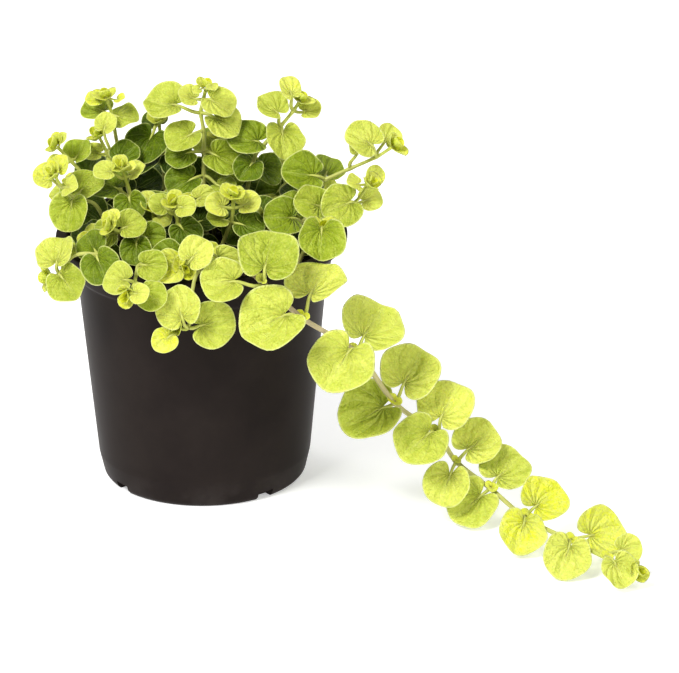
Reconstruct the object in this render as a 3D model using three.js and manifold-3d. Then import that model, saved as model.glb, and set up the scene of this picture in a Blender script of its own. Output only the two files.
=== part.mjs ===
import * as THREE from "three";
import { mergeVertices } from "three/addons/utils/BufferGeometryUtils.js";
import Module from "manifold-3d";

// Potted creeping jenny: a nursery pot, its potting mix, a mound of leafy stems and one trailing stem.
// Millimetres, +Z up. The origin is the middle of the pot's underside, and the plant is seen from -Y.

// Pot
const RIM_RADIUS = 57;
const POT_HEIGHT = 100;
const LIP_WIDTH = 4.4;
const WALL = 1.2;
const FLOOR_THICKNESS = 1.8;
const FOOT_RADIUS = 40.4;
const SHOULDER_RADIUS = 42.3;
const SHOULDER_HEIGHT = 10;
const STEP_RADIUS = 49.2;
const STEP_HEIGHT = 85.4;
const COLLAR_RADIUS = 53.2;
const DRAIN_WIDTH = 7;
const DRAIN_HEIGHT = 3.4;
const DRAIN_TURNS = [38, 128, 218, 308];
const RECESS_RADII = [14, 30];
const RECESS_DEPTH = 0.7;
const POT_SIDES = 36;
const SOIL_SIDES = 18;

// Potting mix
const SOIL_HEIGHT = 91;
const SOIL_BUMP = 0.8;
const FIT_GAP = 0.3;

// Stems and leaves
const STEM_RADIUS = 1.1;
const CORNER_RADIUS = 1.2 * STEM_RADIUS;
const STEM_STEP = 9;
const HOLE_DEPTH = 9;
const FOOT_RISE = 2;
const JOINT_HEIGHT = 1;
const BLADE_THICKNESS = 0.8;
const STALK_WIDTH = 1.5;
const STALK_LENGTH = 2;
const STALK_SHARES = [0.25, 0.4, 0.55, 0.7, 0.85];
const YOUNG_LENGTH = 11;
const YOUNG_BASE = -0.75;
const GROWN_BASE = -0.5;
const BUD_LENGTH = 5.5;
const MOUND_LIFT = 1;
const TRAIL_LIFT = 3;
const CROWN_PAIR = 0.96;
const GROUND_GAP = 0.3;
const LIGHT = new THREE.Vector3(0, -0.68, 0.73);
const OUTWARD_LIGHT = 0.4;
const LINE_STEPS = 48;
const KNOT_STEPS = 4;
const QUARTER = Math.PI / 2;
const SEED = 20837;

// How far leaves keep clear of each other, of stems and of stalks, and how a stalk may run
const LEAF_GAP = 1.6;
const PAIR_GAP = 1.2;
const STEM_GAP = STEM_RADIUS + BLADE_THICKNESS / 2 + 0.8;
const STALK_TO_STEM = 2.6 * STEM_RADIUS;
const STALK_TO_STALK = 2.2;
const POT_GAP = 1.4;
const GUARD_STEP = 2;
const JOINT_REACH = 1.6;
const GUARD_RANGE = 45;
const MIN_ALONG = 0.4;
const MAX_SLANT = 0.85;
const MAX_TWIN = 0.6;

// The trailing stem: its path over the rim, down and out along the surface. At each knot of the path its
// leaves are listed by length and by how far right of the knot and above it the leaf's middle lies, as seen
// from the light.
const TRAIL = {
  name: "stem_trailing", trails: true, root: [8, -34],
  path: [[14, -44, 99], [19, -52, 103.5], [25, -60, 101], [40, -58, 86], [60, -52, 70], [75, -47, 47],
    [91, -46, 34], [99, -46, 22], [112, -51, 13], [125, -70, 9], [141, -91, 9], [153, -106, 9],
    [163, -113, 7]],
  leaves: [[], [], [[17, -15, -1], [23, 2, 8]], [[25, -13, -2], [23, 5, 13]], [[25, -4, -5], [25, 6, 10]],
    [[25, -10, -4], [23, 6, 12]], [[21, -4, -4], [22, 4, 9]], [[18, -4, -11], [19, 8, 7]],
    [[20, -4, -9], [20, 6, 7]], [[18, -1, -10], [19, 7, 6]], [[18, 0, -10], [20, 12, 2]],
    [[14, 5, -7], [11, 8, -3]]],
};

// Stems of the mound that show from the front, listed in the same way. Outward is how far the light that the
// leaves face leans out toward the stem's tip, where it isn't the usual share.
const SHOWN = [
  { name: "stem_front", root: [4, -38], outward: 1.6,
    path: [[3, -48, 101], [0, -57, 103], [-2, -62, 94], [-3, -62, 84], [-7, -63, 84]],
    leaves: [[], [], [], [[17, -3, 8], [18, 9, 3]], [[10, -1, -1]]] },
  { name: "stem_front_left", root: [-18, -34],
    path: [[-20, -43, 102], [-22, -52, 104.5], [-23, -60, 101], [-25, -64, 98]],
    leaves: [[[12, 5, -4]], [[12, 4, -4]], [[13, -5, 1], [12, 7, -6]], [[8, 4, -1]]] },
  { name: "stem_left_low", root: [-30, -24], outward: 0.25,
    path: [[-38, -38, 104], [-47, -37, 103.5], [-53, -36, 96], [-56, -35, 94]],
    leaves: [[[15, 3, -7], [13, -4, 5]], [], [[16, 0, 5], [15, 4, -6]], []] },
  { name: "stem_front_low", root: [14, -26],
    path: [[10, -34, 100], [4, -42, 105]],
    leaves: [[], [[15, 1, -7]]] },
  { name: "stem_front_mid", root: [-7, -34], outward: 1,
    path: [[-6, -42, 102], [-4, -54, 104.5]],
    leaves: [[[13, -6, 2]], [[13, -6, 0], [13, 6, -2]]] },
  { name: "stem_left_front", root: [-24, -22],
    path: [[-23, -28, 107], [-30, -31, 111], [-33, -32, 113]],
    leaves: [[[14, 0, -5], [12, 5, 0]], [[12, -6, 0], [12, 4, 2]], [[5, 1, 2]]] },
  { name: "stem_left_upper", root: [-34, -3],
    path: [[-40, -8, 113], [-48, -10, 117], [-53, -11, 122], [-56, -11, 127]],
    leaves: [[], [[16, -1, -5], [15, 4, 6]], [[10, -7, 6], [9, 3, -1]], [[8, 3, 4]]] },
  { name: "stem_left_back", root: [-34, 14],
    path: [[-45, 11, 117], [-51, 9, 126], [-56, 8, 132]],
    leaves: [[[14, 4, 5], [11, -6, -4]], [[12, 2, 5], [8, -6, -1]], [[5, 3, 2]]] },
  { name: "stem_left_tall", root: [-26, 20],
    path: [[-33, 18, 128], [-35, 17, 142], [-37, 17, 149]],
    leaves: [[], [[13, -7, 2], [12, 4, -1]], [[7, -5, 0], [5, 6, -2]]] },
  { name: "stem_centre_tall", root: [2, 2],
    path: [[1, 3, 122], [1, 6, 131], [1, 7, 139], [0, 8, 146], [1, 9, 151], [2, 10, 155]],
    leaves: [[[15, -8, -4], [10, 8, -6]], [[16, 8, -4], [13, -9, -2]], [[15, -8, -4]], [[17, -14, 4],
      [15, 9, -5]], [[14, 6, -3], [9, -6, 1]], [[5, 4, -2], [4, -2, -1]]] },
  { name: "stem_left_rear", root: [-30, 6],
    path: [[-33, 12, 120], [-37, 13, 128], [-40, 14, 134]],
    leaves: [[[12, 5, 4], [10, -7, 4]], [[9, 0, 4], [8, -6, 2]], []] },
  { name: "stem_right_tall", root: [14, 8],
    path: [[20, 5, 126], [24, 6, 133], [31, 7, 141], [36, 8, 147], [38, 9, 150]],
    leaves: [[[12, -3, -5], [13, 7, -1]], [[17, -7, 1]], [[16, 1, -7], [13, -5, 4]], [[10, -2, 3],
      [9, 7, 2]], []] },
  { name: "stem_right_long", root: [24, -4],
    path: [[38, -4, 118], [48, -5, 123], [58, -6, 128], [68, -7, 133], [74, -7, 137]],
    leaves: [[], [[17, -10, 0], [13, 3, 7]], [[10, 0, 4]], [[15, -8, 4], [10, 5, 10]], [[8, 2, 2]]] },
  { name: "stem_right_mid", root: [30, -12],
    path: [[39, -14, 109], [50, -14, 112], [59, -13, 116], [65, -12, 123]],
    leaves: [[[16, -9, -1], [14, -5, 7]], [[14, -10, 1]], [[17, -7, -4], [10, 7, 3]], [[8, 1, 5],
      [8, -7, -1]]] },
  { name: "stem_right_front", root: [38, -18], outward: 0,
    path: [[43, -22, 105], [47, -27, 111]],
    leaves: [[], [[18, 0, -7]]] },
  { name: "stem_centre_front", root: [6, -18],
    path: [[12, -20, 111], [13, -21, 117], [13, -22, 122]],
    leaves: [[[9, -2, 0], [13, 7, -2]], [[10, -6, 2], [10, 6, 2]], [[5, 1, 1]]] },
  { name: "stem_mid_left", root: [-9, -22],
    path: [[-8, -25, 112], [-10, -26, 118], [-10, -27, 121]],
    leaves: [[[13, 3, -4]], [[9, -5, 2], [9, 5, -1]], []] },
  { name: "stem_left_inner", root: [-23, -6],
    path: [[-27, -7, 117], [-29, -8, 125], [-30, -9, 129]],
    leaves: [[[16, -10, -1], [13, 1, -6]], [[9, -5, 0], [8, 5, 2]], [[5, 1, 0]]] },
  { name: "stem_back_left", root: [-14, 20],
    path: [[-16, 20, 127], [-17, 20, 138]],
    leaves: [[[15, -7, -6], [14, 7, -8]], [[17, -4, -9], [18, -3, 5]]] },
];

// Stems that fill the mound behind them. Leaf is the largest leaf's length, pairs counts the leaf pairs below
// the crown, bare is the share of the stem without leaves and spin turns the first pair about the light.
const FILLING = [
  { name: "stem_inner_left", root: [-17, -12], path: [[-18, -13, 103], [-18, -14, 114]],
    leaf: 16, pairs: 3, bare: 0.4, spin: 60 },
  { name: "stem_inner_mid", root: [-4, -8], path: [[-5, -9, 104], [-4, -10, 114]],
    leaf: 18, pairs: 3, bare: 0.4, spin: 110 },
  { name: "stem_inner_right", root: [18, -12], path: [[20, -13, 103], [24, -15, 110]],
    leaf: 18, pairs: 3, bare: 0.4, spin: 40 },
  { name: "stem_back_right", root: [26, 18], path: [[30, 20, 106], [36, 24, 120]],
    leaf: 18, pairs: 3, bare: 0.4, spin: 50 },
  { name: "stem_centre_back", root: [4, 22], path: [[5, 23, 110], [6, 25, 130]],
    leaf: 19, pairs: 4, bare: 0.4, spin: 20 },
  { name: "stem_side_right", root: [36, 4], path: [[43, 7, 103], [50, 10, 111]],
    leaf: 18, pairs: 3, bare: 0.45, spin: 10 },
  { name: "stem_side_left", root: [-42, 6], path: [[-47, 12, 103], [-52, 18, 112]],
    leaf: 17, pairs: 2, bare: 0.5, spin: 0 },
  { name: "stem_back_mid", root: [10, 36], path: [[11, 41, 105], [13, 48, 116]],
    leaf: 18, pairs: 3, bare: 0.45, spin: 20 },
  { name: "stem_back_far", root: [-10, 38], path: [[-12, 44, 104], [-14, 52, 112]],
    leaf: 18, pairs: 3, bare: 0.45, spin: 65 },
  { name: "stem_back_corner", root: [-28, 30], path: [[-34, 36, 104], [-41, 41, 114]],
    leaf: 18, pairs: 3, bare: 0.45, spin: 38 },
  { name: "stem_back_edge", root: [30, 32], path: [[36, 37, 103], [43, 42, 110]],
    leaf: 17, pairs: 3, bare: 0.45, spin: 70 },
  { name: "stem_inner_back", root: [-8, 8], path: [[-8, 9, 102], [-7, 9, 112]],
    leaf: 16, pairs: 3, bare: 0.4, spin: 80 },
  { name: "stem_mid_right", root: [24, 2], path: [[26, 2, 102], [28, 1, 109]],
    leaf: 15, pairs: 2, bare: 0.4, spin: 100 },
  { name: "stem_left_mid", root: [-38, -14], path: [[-41, -18, 98], [-43, -21, 102]],
    leaf: 15, pairs: 2, bare: 0.5, spin: 60 },
];

const wasm = await Module();
wasm.setup();

// A closed geometry as a solid
function solid(geometry) {
  const bare = geometry.clone();
  bare.deleteAttribute("normal");
  bare.deleteAttribute("uv");
  const merged = mergeVertices(bare, 1e-4);
  return new wasm.Manifold(new wasm.Mesh({
    numProp: 3,
    vertProperties: new Float32Array(merged.attributes.position.array),
    triVerts: new Uint32Array(merged.index.array),
  }));
}

// A solid as a named mesh
function meshOf(name, body, material) {
  const { vertProperties, triVerts } = body.getMesh();
  const geometry = new THREE.BufferGeometry();
  geometry.setAttribute("position", new THREE.BufferAttribute(new Float32Array(vertProperties), 3));
  geometry.setIndex(new THREE.BufferAttribute(new Uint32Array(triVerts), 1));
  geometry.computeVertexNormals();
  const mesh = new THREE.Mesh(geometry, material);
  mesh.name = name;
  return mesh;
}

// A solid of revolution about Z from radius and height pairs
function turned(profile, sides) {
  const points = profile.map(([radius, height]) => new THREE.Vector2(radius, height));
  return new THREE.LatheGeometry(points, sides).rotateX(Math.PI / 2);
}

// A repeatable draw from 0 to 1, fixed by whole numbers
function draw(...keys) {
  let state = SEED;
  for (const key of keys) {
    state = Math.imul(state ^ (key + 40503), 2246822519) >>> 0;
    state = (state ^ (state >>> 13)) >>> 0;
  }
  state = Math.imul(state, 3266489917) >>> 0;
  return ((state ^ (state >>> 16)) >>> 0) / 2 ** 32;
}

// Pot: flat underside with a shallow ring recess, chamfered foot, step, flared collar and turned-down lip
function makePot() {
  const inner = RIM_RADIUS - LIP_WIDTH;
  const [recessInner, recessOuter] = RECESS_RADII;
  let pot = solid(turned([
    [0, 0], [recessInner, 0], [recessInner + 1, RECESS_DEPTH], [recessOuter - 1, RECESS_DEPTH],
    [recessOuter, 0], [FOOT_RADIUS - 1.4, 0], [FOOT_RADIUS, 1.6],
    [SHOULDER_RADIUS, SHOULDER_HEIGHT], [STEP_RADIUS, STEP_HEIGHT], [STEP_RADIUS + 1, STEP_HEIGHT + 1.2],
    [COLLAR_RADIUS, POT_HEIGHT - 1.6], [RIM_RADIUS - 1.6, POT_HEIGHT - 1.7],
    [RIM_RADIUS - 1.4, POT_HEIGHT - 3],
    [RIM_RADIUS, POT_HEIGHT - 2.8], [RIM_RADIUS, POT_HEIGHT - 0.9], [RIM_RADIUS - 0.9, POT_HEIGHT],
    [inner, POT_HEIGHT], [STEP_RADIUS + 1 - WALL, STEP_HEIGHT + 1.6],
    [STEP_RADIUS - WALL, STEP_HEIGHT + 0.4],
    [SHOULDER_RADIUS - WALL, SHOULDER_HEIGHT + 0.3], [FOOT_RADIUS - WALL, FLOOR_THICKNESS],
    [0, FLOOR_THICKNESS],
  ], POT_SIDES));
  for (const turn of DRAIN_TURNS) {
    const slot = new THREE.BoxGeometry(10, DRAIN_WIDTH, 2 * DRAIN_HEIGHT)
      .translate(FOOT_RADIUS, 0, 0)
      .rotateZ(THREE.MathUtils.degToRad(turn - 90));
    pot = pot.subtract(solid(slot));
  }
  return pot;
}

// Height of the mix's rough surface
function soilTop(x, y) {
  const broad = Math.sin(0.31 * x + 1) * Math.cos(0.27 * y);
  const fine = 0.6 * Math.sin(0.7 * x - 0.5 * y);
  return SOIL_HEIGHT + SOIL_BUMP * (broad + fine);
}

// Potting mix: fills the pot to a rough surface, with a plain hole for each stem
function makeSoil(stems) {
  const edge = WALL + FIT_GAP;
  const rings = [42, 28, 14];
  const mix = turned([
    [0, FLOOR_THICKNESS + FIT_GAP], [FOOT_RADIUS - edge, FLOOR_THICKNESS + FIT_GAP],
    [SHOULDER_RADIUS - edge, SHOULDER_HEIGHT + 0.4],
    [STEP_RADIUS - edge, STEP_HEIGHT + 0.5], [STEP_RADIUS + 1 - edge, STEP_HEIGHT + 1.7],
    [STEP_RADIUS + 0.3 - FIT_GAP, SOIL_HEIGHT - 2],
    ...rings.map((radius) => [radius, SOIL_HEIGHT]), [0, SOIL_HEIGHT],
  ], SOIL_SIDES);
  const points = mix.attributes.position;
  for (let i = 0; i < points.count; i++) {
    if (points.getZ(i) > SOIL_HEIGHT - 0.5) points.setZ(i, soilTop(points.getX(i), points.getY(i)));
  }
  let soil = solid(mix);
  for (const stem of stems) soil = soil.subtract(holeFor(stem));
  return soil;
}

// Centre line of a stem: points from its foot in the mix to its tip, with at each the way it runs and the two
// directions across it, carried along without twist
function centreLine(stem) {
  const [x, y] = stem.root;
  const knots = [[x, y, SOIL_HEIGHT - HOLE_DEPTH], [x, y, SOIL_HEIGHT + FOOT_RISE], ...stem.path]
    .map((knot) => new THREE.Vector3(...knot));
  const curve = new THREE.CatmullRomCurve3(knots, false, "catmullrom", 0.5);
  const points = stem.leaves
    ? curve.getPoints(KNOT_STEPS * (knots.length - 1))
    : curve.getSpacedPoints(LINE_STEPS);
  const last = points.length - 1;
  const line = [];
  let side = new THREE.Vector3(1, 0, 0);
  points.forEach((at, i) => {
    const tangent = points[Math.min(i + 1, last)].clone().sub(points[Math.max(i - 1, 0)]).normalize();
    side = side.clone().addScaledVector(tangent, -side.dot(tangent)).normalize();
    line.push({ at, tangent, side, ahead: side.clone().cross(tangent) });
  });
  return line;
}

// Points along a stem and its bud, close enough together to tell whether a leaf would touch it
function guardsOf(line) {
  const tip = line[line.length - 1];
  const end = { at: tip.at.clone().addScaledVector(tip.tangent, BUD_LENGTH) };
  return [...line.slice(1), end].flatMap(({ at }, i) => {
    const from = line[i].at;
    const steps = Math.ceil(at.distanceTo(from) / GUARD_STEP);
    return Array.from({ length: steps }, (_, k) => from.clone().lerp(at, (k + 1) / steps));
  });
}

// Leaves listed at the knots of a stem's path
function listedLeaves(stem) {
  return stem.leaves.flatMap((sizes, pair) => sizes.map(([length, right, above], side) => (
    { stem, pair, joint: KNOT_STEPS * (pair + 2), length, right, above, key: [stem.index, pair, side] })));
}

// Leaves of a filling stem: each pair a quarter turn from the last, smaller toward the crown
function pairedLeaves(stem) {
  const leaves = [];
  for (let pair = 0; pair <= stem.pairs; pair++) {
    const up = stem.bare + ((CROWN_PAIR - stem.bare) * pair) / stem.pairs;
    const length = stem.leaf * (pair === stem.pairs ? 0.5 : pair === stem.pairs - 1 ? 0.9 : 1);
    const reach = 0.42 * length + STALK_LENGTH;
    for (const side of [0, 1]) {
      const turn = stem.spin + 90 * pair + 180 * side + 20 * (draw(stem.index, pair, side, 1) - 0.5);
      const angle = THREE.MathUtils.degToRad(turn);
      leaves.push({
        stem, pair, joint: Math.round(up * LINE_STEPS), length,
        right: reach * Math.cos(angle), above: reach * Math.sin(angle), key: [stem.index, pair, side],
      });
    }
  }
  return leaves;
}

// A leaf's place: its plane faces the light, tipped a little outward when grown and inward when young,
// and its form is drawn from its key
function placeBlade(leaf, nudge) {
  const { light, rightward, upward, lift, line } = leaf.stem;
  const { at } = line[leaf.joint];
  const radius = (leaf.length / 2) * nudge.scale;
  const turn = Math.atan2(leaf.above, leaf.right) + THREE.MathUtils.degToRad(nudge.turn);
  const notch = outlineRadius(Math.PI) * radius + 2 * STEM_RADIUS + 0.3 * (lift + nudge.lift);
  const reach = Math.max(Math.hypot(leaf.right, leaf.above) * nudge.scale, notch);
  const outward = rightward.clone().multiplyScalar(Math.cos(turn)).addScaledVector(upward, Math.sin(turn));
  const tip = (leaf.length < YOUNG_LENGTH ? -0.35 : 0.12) + 0.3 * (draw(...leaf.key, 2) - 0.5);
  const roll = 0.4 * (draw(...leaf.key, 3) - 0.5);
  const up = light.clone().addScaledVector(outward, tip)
    .addScaledVector(light.clone().cross(outward), roll).normalize();
  const along = outward.clone().addScaledVector(up, -outward.dot(up)).normalize();
  const blade = {
    leaf, up, along, radius,
    across: along.clone().cross(up),
    centre: at.clone().addScaledVector(outward, reach).addScaledVector(light, lift + nudge.lift),
    cup: 0.05 + 0.16 * draw(...leaf.key, 4),
    fold: 0.08 + 0.18 * draw(...leaf.key, 5),
    droop: 0.3 * draw(...leaf.key, 6),
    wave: 0.03 + 0.07 * draw(...leaf.key, 7),
    phase: 2 * Math.PI * draw(...leaf.key, 8),
  };
  const base = bladePoint(blade, 0, radius < YOUNG_LENGTH / 2 ? YOUNG_BASE : GROWN_BASE);
  blade.points = spreadOver(blade);
  blade.stalk = STALK_SHARES.map((share) => at.clone().lerp(base, share));
  return blade;
}

// Height of a blade over its plane, in radii, at a place across and along it in radii
function relief(blade, across, along) {
  const reach = Math.hypot(across, along);
  const ripple = blade.wave * reach ** 3 * Math.sin(3 * Math.atan2(across, along) + blade.phase);
  const valley = blade.fold * (Math.abs(across) - 0.4);
  return blade.cup * reach ** 2 + valley - blade.droop * Math.max(along, 0) ** 2 + ripple;
}

// A blade's outline radius, in radii, by the angle from its tip: round, notched at the stalk
function outlineRadius(angle) {
  const notch = Math.exp(-(((Math.PI - Math.abs(angle)) / 0.3) ** 2));
  return 1 - 0.03 * Math.cos(2 * angle) - 0.5 * notch;
}

// A point of a blade given across and along it in radii, and above its face in millimetres
function bladePoint(blade, across, along, above = 0) {
  return blade.centre.clone()
    .addScaledVector(blade.across, blade.radius * across)
    .addScaledVector(blade.along, blade.radius * along)
    .addScaledVector(blade.up, blade.radius * relief(blade, across, along) + above);
}

// Points spread over a blade, for telling how near others come
function spreadOver(blade) {
  const points = [bladePoint(blade, 0, 0)];
  for (const [reach, count] of [[0.36, 6], [0.7, 12], [1, 18]]) {
    for (let i = 0; i < count; i++) {
      const angle = 2 * Math.PI * ((i + 0.5) / count - 0.5);
      const radius = reach * outlineRadius(angle);
      points.push(bladePoint(blade, radius * Math.sin(angle), radius * Math.cos(angle)));
    }
  }
  return points;
}

// How far a point stands off a blade's face or past its edge
function gapTo(blade, point) {
  const offset = point.clone().sub(blade.centre);
  const across = offset.dot(blade.across) / blade.radius;
  const along = offset.dot(blade.along) / blade.radius;
  const reach = Math.hypot(across, along);
  const past = Math.max(reach - outlineRadius(Math.atan2(across, along)), 0);
  const inside = 1 / Math.max(reach, 1);
  const off = offset.dot(blade.up) - blade.radius * relief(blade, across * inside, along * inside);
  return Math.hypot(off, past * blade.radius);
}

// Whether a point is clear of the pot, the mix and the surface below
function clearOfPot({ x, y, z }) {
  const reach = Math.hypot(x, y);
  if (z < GROUND_GAP + BLADE_THICKNESS / 2) return false;
  if (z > POT_HEIGHT + POT_GAP) return true;
  if (reach < RIM_RADIUS - LIP_WIDTH - POT_GAP) return z > SOIL_HEIGHT + SOIL_BUMP + POT_GAP;
  const wall = z > POT_HEIGHT - 5 ? RIM_RADIUS : z > STEP_HEIGHT - POT_GAP ? COLLAR_RADIUS : STEP_RADIUS;
  return reach > wall + POT_GAP;
}

// The way a leaf leaves its stem, as an angle about it
function bearingOf(blade) {
  const { at, side, ahead } = blade.leaf.stem.line[blade.leaf.joint];
  const reach = blade.stalk[4].clone().sub(at);
  return Math.atan2(reach.dot(ahead), reach.dot(side));
}

// Whether a blade's stalk runs well: on into the blade, and not along the stem
function runsWell(blade) {
  const run = blade.stalk[4].clone().sub(blade.stalk[0]).normalize();
  const { tangent } = blade.leaf.stem.line[blade.leaf.joint];
  return run.dot(blade.along) >= MIN_ALONG && Math.abs(run.dot(tangent)) <= MAX_SLANT;
}

// Whether a blade and its stalk are clear of a stem
function clearOfStem(blade, stem) {
  const own = stem === blade.leaf.stem;
  const foot = blade.leaf.stem.line[blade.leaf.joint].at;
  return stem.guards.every((guard) => {
    const away = guard.distanceTo(foot);
    if (own ? away < JOINT_REACH : away > GUARD_RANGE) return true;
    if (gapTo(blade, guard) < STEM_GAP) return false;
    return own || blade.stalk.every((point) => point.distanceTo(guard) >= STALK_TO_STEM);
  });
}

// Whether a blade and its stalk are clear of a leaf already placed
function clearOfLeaf(blade, other) {
  const twin = other.leaf.stem === blade.leaf.stem && other.leaf.pair === blade.leaf.pair;
  const gap = twin ? PAIR_GAP : LEAF_GAP;
  if (other.centre.distanceTo(blade.centre) > 2.4 * (other.radius + blade.radius) + gap) return true;
  if (twin && Math.cos(bearingOf(blade) - bearingOf(other)) > MAX_TWIN) return false;
  if (blade.points.some((point) => gapTo(other, point) < gap)) return false;
  if (other.points.some((point) => gapTo(blade, point) < gap)) return false;
  if (twin) return true;
  if (blade.stalk.some((point) => gapTo(other, point) < gap)) return false;
  if (other.stalk.some((point) => gapTo(blade, point) < gap)) return false;
  return !other.stalk.some((point) => blade.stalk.some((own) => own.distanceTo(point) < STALK_TO_STALK));
}

// Ways to move a leaf aside, by size, by turn about its joint and by height off it, the slightest first
const SCALES = [1, 0.88, 0.76, 0.64, 0.54];
const TURNS = [0, 8, -8, 16, -16, 26, -26, 38, -38, 52, -52, 68, -68];
const LIFTS = [0, 1.2, 2.4, 3.6, 4.8, 6, 7.2, 9.6, -1.6, -3.2];
const NUDGES = SCALES
  .flatMap((scale) => TURNS.flatMap((turn) => LIFTS.map((lift) => ({ scale, turn, lift }))))
  .sort((one, other) => effort(one) - effort(other));

// How much a move changes: 1 for a twelfth of its size, 10 degrees of turn or 4 mm of height
function effort({ scale, turn, lift }) {
  return 12 * (1 - scale) + Math.abs(turn) / 10 + Math.abs(lift) / 4;
}

// Places every leaf in turn where it is first clear of the rest; one with no room is left out
function placeLeaves(stems) {
  const placed = [];
  for (const leaf of stems.flatMap((stem) => stem.leafList)) {
    for (const nudge of NUDGES) {
      const blade = placeBlade(leaf, nudge);
      if (![...blade.points, ...blade.stalk].every(clearOfPot) || !runsWell(blade)) continue;
      if (!stems.every((stem) => clearOfStem(blade, stem))) continue;
      if (!placed.every((other) => clearOfLeaf(blade, other))) continue;
      placed.push(blade);
      break;
    }
  }
  return placed;
}

// The facet of its ring that a leaf grows from: the free one nearest to the way it leaves
function facetFor(blade, turn, taken) {
  const nearness = (facet) => Math.cos(bearingOf(blade) - turn - facet * QUARTER);
  const free = [0, 1, 2, 3].filter((facet) => !taken.includes(facet));
  return free.reduce((best, facet) => (nearness(facet) > nearness(best) ? facet : best));
}

// A closed surface collected corner by corner
class Shell {
  constructor() {
    this.corners = [];
    this.faces = [];
  }

  add(point) {
    this.corners.push(point.x, point.y, point.z);
    return this.corners.length / 3 - 1;
  }

  at(corner) {
    return new THREE.Vector3(...this.corners.slice(3 * corner, 3 * corner + 3));
  }

  // Four corners closed along their shorter diagonal
  quad(a, b, c, d) {
    const straight = this.at(a).distanceTo(this.at(c)) < this.at(b).distanceTo(this.at(d));
    if (straight) this.faces.push(a, b, c, a, c, d);
    else this.faces.push(a, b, d, b, c, d);
  }

  solid() {
    const geometry = new THREE.BufferGeometry();
    geometry.setAttribute("position", new THREE.BufferAttribute(new Float32Array(this.corners), 3));
    geometry.setIndex(this.faces);
    return solid(geometry);
  }
}

// Square ring of a stalk, its corners between the four facets that leaves can grow from
function ringOf(shell, { at, tangent, side, ahead }, shift, radius, turn = 0) {
  return [0, 1, 2, 3].map((corner) => {
    const angle = turn + (corner - 0.5) * QUARTER;
    return shell.add(at.clone().addScaledVector(tangent, shift)
      .addScaledVector(side, radius * Math.cos(angle))
      .addScaledVector(ahead, radius * Math.sin(angle)));
  });
}

// Stretch of stalk between two rings, leaving out the facets that leaves grow from
function stretch(shell, lower, upper, leafy = []) {
  for (let facet = 0; facet < 4; facet++) {
    if (leafy.includes(facet)) continue;
    const next = (facet + 1) % 4;
    shell.quad(lower[next], lower[facet], upper[facet], upper[next]);
  }
}

// A leaf grown from a four-cornered loop on its stem: stalk, then a round blade of even thickness
function growLeaf(shell, blade, root) {
  const half = STALK_WIDTH / 2 / blade.radius;
  const young = 2 * blade.radius < YOUNG_LENGTH;
  const angles = young ? [0, 50, 105, 150] : [22, 64, 106, 146];
  const right = angles.map((degrees) => {
    const angle = THREE.MathUtils.degToRad(degrees);
    return [outlineRadius(angle) * Math.sin(angle), outlineRadius(angle) * Math.cos(angle)];
  });
  right.push([half, young ? YOUNG_BASE : GROWN_BASE]);
  const left = right.filter(([across]) => across > 0).reverse().map(([across, along]) => [-across, along]);
  const outline = [[0, 0], ...right, ...left];
  const [top, under] = [0.5, -0.5].map((share) =>
    outline.map(([across, along]) => shell.add(bladePoint(blade, across, along, share * BLADE_THICKNESS))));
  const stalk = right.length;
  for (let i = 1; i < outline.length; i++) {
    const next = i === outline.length - 1 ? 1 : i + 1;
    shell.faces.push(top[0], top[next], top[i], under[0], under[i], under[next]);
    if (i === stalk) continue;
    shell.faces.push(top[i], top[next], under[next], top[i], under[next], under[i]);
  }
  const base = [under[stalk], under[stalk + 1], top[stalk + 1], top[stalk]];
  const turns = [0, 1, 2, 3].map((turn) => base.map((_, i) => base[(i + turn) % 4]));
  const span = (corner, i) => shell.at(corner).distanceTo(shell.at(root[i]));
  const twist = (loop) => loop.reduce((sum, corner, i) => sum + span(corner, i), 0);
  const [end] = turns.sort((one, other) => twist(one) - twist(other));
  root.forEach((corner, i) => shell.quad(corner, root[(i + 1) % 4], end[(i + 1) % 4], end[i]));
}

// Places of the stalk's rings: its ends, both sides of each leaf pair, and steps in between
function ringPlaces(stem) {
  const joints = [...new Set(stem.leafList.map((leaf) => leaf.joint))];
  const places = [{ i: 0, shift: 0 }];
  stem.line.forEach(({ at }, i) => {
    if (joints.includes(i)) {
      places.push({ i, shift: -JOINT_HEIGHT / 2 }, { i, shift: JOINT_HEIGHT / 2 });
      return;
    }
    const far = (k) => at.distanceTo(stem.line[k].at) > STEM_STEP / 2;
    const last = places[places.length - 1].i;
    if (at.distanceTo(stem.line[last].at) >= STEM_STEP && joints.every(far)) places.push({ i, shift: 0 });
  });
  return places;
}

// The same places with the turn of each ring, which brings its facets round to the leaves
function turnedPlaces(stem) {
  let turn = 0;
  return ringPlaces(stem).map(({ i, shift }) => {
    const first = stem.blades.find(({ leaf }) => leaf.joint === i);
    if (first) {
      const off = bearingOf(first) - turn;
      turn += off - Math.round(off / QUARTER) * QUARTER;
    }
    return { i, shift, turn };
  });
}

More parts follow.
